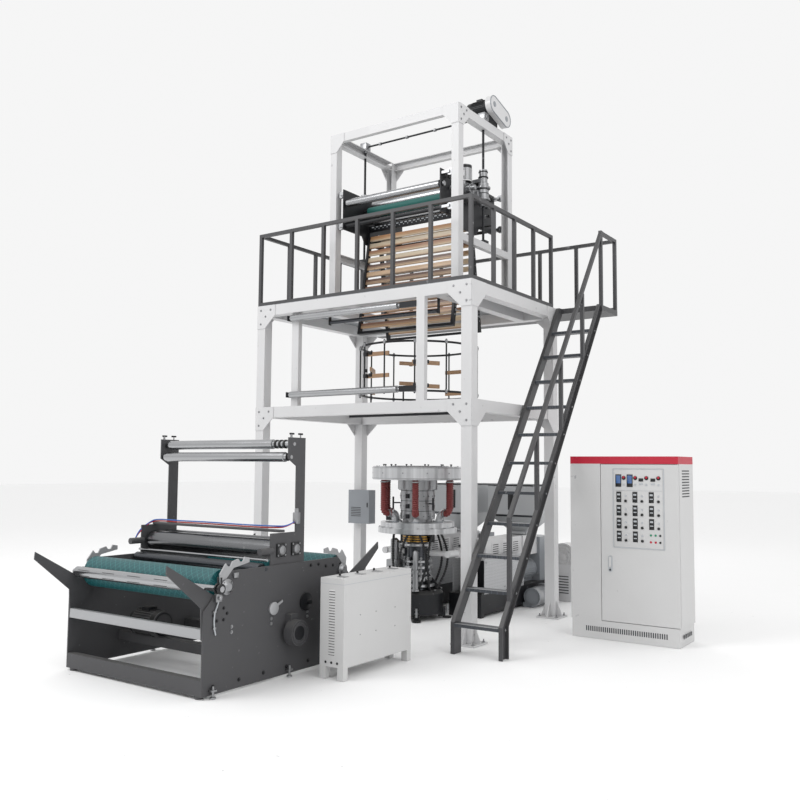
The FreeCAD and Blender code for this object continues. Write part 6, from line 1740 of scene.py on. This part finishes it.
@dataclass
class ControlCabinet:
    """The control cabinet with its instrument door, vents and red cap."""

    body: str = "door"
    face: float = 0.06
    panel_x: Pair = (2.345, 2.835)
    panel_z: Pair = (0.93, 1.715)
    display_at: Floats = (0.09, 0.33)
    lamp_at: Floats = (0.205, 0.446, 0.677, 0.923)
    meter_columns: Floats = (0.097, 0.436, 0.774)
    meter_rows: Floats = (0.642, 0.471, 0.307, 0.143)
    sides: Pairs = ((1.87, -1.0), (2.99, 1.0))
    hinge_levels: Floats = (0.30, 0.95, 1.60)

    def dress(self) -> None:
        """Paints the cabinet."""
        dress(CABINET_PAINT, "control_cabinet", "control_door")
        dress(RED_PAINT, "cabinet_cap")

    def at(self, across: float, up: float) -> Pair:
        """Gives a place on the instrument panel from shares of its width and height."""
        (left, right), (low, high) = self.panel_x, self.panel_z
        return left + (right - left) * across, low + (high - low) * up

    def block(self, shape: Shape, across: float, up: float, wide: float, tall: float, proud: float = 0.006,
              bevel: float = 0.0015) -> None:
        """Adds one instrument, sized in shares of the panel, proud of the door."""
        x, z = self.at(across, up)
        half_x = wide * (self.panel_x[1] - self.panel_x[0]) / 2.0
        half_z = tall * (self.panel_z[1] - self.panel_z[0]) / 2.0
        shape.box((x - half_x, self.face - proud, z - half_z), (x + half_x, self.face + 0.001, z + half_z),
                  bevel)

    def instruments(self) -> None:
        """Lays out displays, meters, buttons and knobs on the door."""
        sheet, black, blue, light, red, green = (Shape() for _ in range(6))
        self.block(sheet, 0.5, 0.5, 1.0, 1.0, 0.003, 0.001)
        for across, up, wide, tall in ((0.5, 1.0, 1.06, 0.012), (0.5, 0.0, 1.06, 0.012),
                                       (-0.025, 0.5, 0.015, 1.0),
                                       (1.025, 0.5, 0.015, 1.0), (0.5, 0.725, 0.98, 0.004)):
            self.block(light, across, up, wide, tall, 0.006)
        for across in self.display_at:
            self.block(black, across, 0.85, 0.125, 0.16, 0.007)
            self.block(blue, across, 0.865, 0.095, 0.10, 0.0085, 0.0005)
        for across in (0.564, 0.81):
            self.block(black, across, 0.862, 0.095, 0.04, 0.008)
            self.block(light, across, 0.81, 0.08, 0.02, 0.008)
        for across in self.lamp_at:
            self.button(black, across, 0.885, 0.021)
            self.button(red, across, 0.892, 0.012, 0.014)
            self.button(light, across, 0.80, 0.011)
        for column, across in enumerate(self.meter_columns):
            for row, up in enumerate(self.meter_rows):
                if column == 2 and row == 3:
                    continue
                self.block(black, across, up, 0.10, 0.135, 0.008)
                self.block(light, across, up + 0.03, 0.065, 0.022, 0.0086, 0.0003)
                self.block(light, across, up - 0.02, 0.065, 0.012, 0.0086, 0.0003)
                self.button(light, across + 0.144, up + 0.015, 0.010)
                self.button(black, across + 0.144, up - 0.05, 0.014, 0.016)
        for across, target in ((0.754, green), (0.851, green), (0.944, black)):
            self.button(target, across, 0.171, 0.011)
        for across, target in ((0.754, red), (0.851, red), (0.944, black)):
            self.button(target, across, 0.085, 0.011)
        sheet.done("instrument_sheet", CABINET_PAINT, self.body)
        black.done("instrument_meters", BLACK_PLASTIC, self.body)
        blue.done("instrument_displays", SCREEN_BLUE, self.body)
        light.done("instrument_trim", PANEL_GREY, self.body)
        red.done("red_buttons", RED_PAINT, self.body)
        green.done("green_buttons", BUTTON_GREEN, self.body)

    def button(self, shape: Shape, across: float, up: float, radius: float, proud: float = 0.008) -> None:
        """Adds one round button or knob to the panel."""
        x, z = self.at(across, up)
        shape.lathe((x, self.face - 0.002, z), MINUS_Y, ((0.0, radius), (proud * 0.6, radius),
                                                                  (proud, radius * 0.75)), 18)

    def lock(self) -> None:
        """Adds the door's lock bar and hinges."""
        x, low, high, wide = 2.295, 0.70, 0.82, 0.022
        outline = [(x + wide * math.cos(math.radians(15.0 * k)), 0.061,
                    high + wide * math.sin(math.radians(15.0 * k)))
                   for k in range(13)]
        outline += [(x - wide * math.cos(math.radians(15.0 * k)), 0.061,
                     low - wide * math.sin(math.radians(15.0 * k)))
                    for k in range(13)]
        Shape().plate(outline, (0.0, -0.006, 0.0)).done("door_lock_plate", PANEL_GREY, self.body)
        lever = Shape().box((x - 0.012, 0.044, low + 0.03), (x + 0.012, 0.056, high + 0.01), 0.004)
        lever.done("door_lever", CABINET_PAINT, self.body)
        key = Shape().lathe((x, 0.056, low), MINUS_Y, ((0.0, 0.011), (0.006, 0.010), (0.007, 0.004)), 16)
        key.done("door_key_hole", DARK_TRIM_AND_SLOT_SHADE, self.body)
        hinges = Shape()
        for z in self.hinge_levels:
            hinges.rod((2.982, 0.071, z), (2.982, 0.071, z + 0.07), 0.0075, 12)
        hinges.done("door_hinges", BARE_METAL, self.body)

    def vents(self) -> None:
        """Paints the shade inside the slotted vents of the plinth and the sides as thin dark strips."""
        vents = Shape()
        for step in range(38):
            x = 2.03 + step * 0.0222
            vents.box((x, self.face - 0.0015, 0.072), (x + 0.011, self.face + 0.001, 0.122))
        for edge, way in self.sides:
            for step in range(10):
                z = 1.44 + step * 0.028
                out = edge if way > 0 else edge + 0.001
                vents.box((out - 0.001, 0.18, z), (out + 0.0005, 0.42, z + 0.012))
        for step in range(5):
            y = 0.16 + step * 0.06
            vents.box((2.989, y, 0.075), (2.99, y + 0.03, 0.115))
        vents.done("cabinet_vent_shade", DARK_TRIM_AND_SLOT_SHADE)

    def build(self) -> None:
        """Dresses the cabinet and adds its instruments."""
        self.dress()
        self.instruments()
        self.lock()
        self.vents()


@dataclass
class SupplyCabinet:
    """The low white supply cabinet beside the winder."""

    low: Point = (0.925, -2.84, 0.10)
    high: Point = (1.17, -1.87, 0.81)

    def build(self) -> None:
        """Dresses the cabinet and adds louvres with a strip of painted shade under each, screws, clips and
        seams.
        """
        dress(CABINET_PAINT, "supply_cabinet")
        louvres, screws, dark = Shape(), Shape(), Shape()
        middle = (self.low[0] + self.high[0]) / 2.0
        for step in range(24):
            z = 0.20 + step * 0.022
            louvres.plate([(middle - 0.03, self.low[1], z), (middle - 0.03, self.low[1] - 0.006, z),
                           (middle - 0.03, self.low[1], z + 0.012)], (0.06, 0.0, 0.0))
            # A dark strip of painted shade under each louvre.
            dark.box((middle - 0.03, self.low[1] - 0.001, z - 0.006), (middle + 0.03, self.low[1] + 0.001, z))
        for x in (middle - 0.06, middle, middle + 0.06):
            dark.lathe((x, self.low[1], 0.135), MINUS_Y, ((0.0, 0.011), (0.003, 0.010)), 14)
        for y, z in ((-2.62, 0.34), (-2.40, 0.50), (-2.12, 0.50), (-2.40, 0.34), (-2.12, 0.34),
                     (-2.62, 0.50)):
            screws.lathe((self.high[0], y, z), X_AXIS, ((0.0, 0.006), (0.003, 0.005)), 12)
        for number, y in enumerate((-2.72, -2.48, -2.24, -2.0)):
            screws.box((1.02, y - 0.03, self.high[2]), (1.10, y + 0.03, self.high[2] + 0.004), 0.001)
            dark.lathe((0.99, y + 0.05, self.high[2]), Z_AXIS, ((0.0, 0.010), (0.016, 0.010), (0.02, 0.006)),
                       14)
        seam = Shape().box((self.low[0] - 0.001, self.low[1] - 0.001, 0.762),
                           (self.high[0] + 0.001, self.high[1] + 0.001, 0.766))
        seam.done("supply_lid_seam", PANEL_GREY)
        dark.done("supply_dark_fittings_and_louvre_shade", BLACK_PLASTIC)
        louvres.done("supply_louvres", CABINET_PAINT)
        screws.done("supply_screws", BARE_METAL)


@dataclass
class Studio:
    """Pale floor, soft lights and the camera of the photograph."""

    place: Point = (5.535, -8.381, 1.727)
    yaw: float = 34.66
    pitch: float = 4.38
    roll: float = 0.44
    lens: float = 38.74
    floor_half: float = 60.0
    world_level: float = 0.92

    def floor(self) -> None:
        """Lays the pale studio floor."""
        mesh = bpy.data.meshes.new("studio_floor")
        far = self.floor_half
        mesh.from_pydata([(-far, -far, -0.002), (far, -far, -0.002), (far, far, -0.002), (-far, far, -0.002)],
                         [], [(0, 1, 2, 3)])
        paper = Finish("studio_paper", "white_frame", shade(250, 250, 250), 0.85, mottle=0.01, dust=0.0,
                       scuff=0.0)
        mesh.materials.append(paper.material())
        ground = bpy.data.objects.new("studio_floor", mesh)
        bpy.context.scene.collection.objects.link(ground)

    def lamp(self, name: str, place: Point, aim: Point, size: float, power: float) -> None:
        """Hangs one soft square lamp.

        Args:
            name: The lamp's name.
            place: Where it hangs.
            aim: What it shines on.
            size: Its side.
            power: Its power in watts.
        """
        light = bpy.data.lights.new(name, "AREA")
        light.energy, light.size = power, size
        lamp = bpy.data.objects.new(name, light)
        lamp.location = place
        lamp.rotation_euler = (Vector(aim) - Vector(place)).to_track_quat("-Z", "Y").to_euler()
        bpy.context.scene.collection.objects.link(lamp)

    def lights(self) -> None:
        """Lights the room evenly, with a main lamp and a fill."""
        world = bpy.data.worlds.new("studio_world")
        world.use_nodes = True
        back = world.node_tree.nodes["Background"]
        back.inputs[0].default_value = (1.0, 1.0, 1.0, 1.0)
        back.inputs[1].default_value = self.world_level
        bpy.context.scene.world = world
        self.lamp("main_lamp", (-3.5, -9.0, 9.0), (0.0, -1.0, 2.0), 5.0, 380.0)
        self.lamp("fill_lamp", (8.5, -4.0, 6.0), (0.5, -0.5, 2.2), 5.0, 110.0)
        self.lamp("back_lamp", (-4.0, 7.0, 8.0), (0.0, 0.0, 3.0), 5.0, 130.0)

    def camera(self) -> None:
        """Stands the camera where the photograph was taken."""
        yaw, pitch, roll = (math.radians(angle) for angle in (self.yaw, self.pitch, self.roll))
        ahead = Vector((-math.sin(yaw) * math.cos(pitch), math.cos(yaw) * math.cos(pitch), math.sin(pitch)))
        right = Vector((math.cos(yaw), math.sin(yaw), 0.0))
        up = right.cross(ahead)
        across = right * math.cos(roll) + up * math.sin(roll)
        above = up * math.cos(roll) - right * math.sin(roll)
        lens = bpy.data.cameras.new("photo_camera")
        lens.lens, lens.sensor_width, lens.clip_end = self.lens, 36.0, 200.0
        camera = bpy.data.objects.new("photo_camera", lens)
        turn = Matrix((across, above, -ahead)).transposed().to_4x4()
        camera.matrix_world = Matrix.Translation(self.place) @ turn
        bpy.context.scene.collection.objects.link(camera)
        bpy.context.scene.camera = camera

    def build(self) -> None:
        """Sets up floor, lights and camera."""
        self.floor()
        self.lights()
        self.camera()
        bpy.context.scene.view_settings.view_transform = "Standard"


def main() -> None:
    """Builds every sub-assembly in order."""
    logging.basicConfig(level=logging.INFO, format="%(message)s")
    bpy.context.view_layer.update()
    Studio().build()
    for assembly in (Tower(), LiftGear(), HaulOff(), BubbleCage(), DieColumn(), Extruders(), StairAndRails(),
                     Winder(), ControlCabinet(), SupplyCabinet()):
        LOG.info("building %s", type(assembly).__name__)
        assembly.build()


if __name__ == "__main__":
    main()
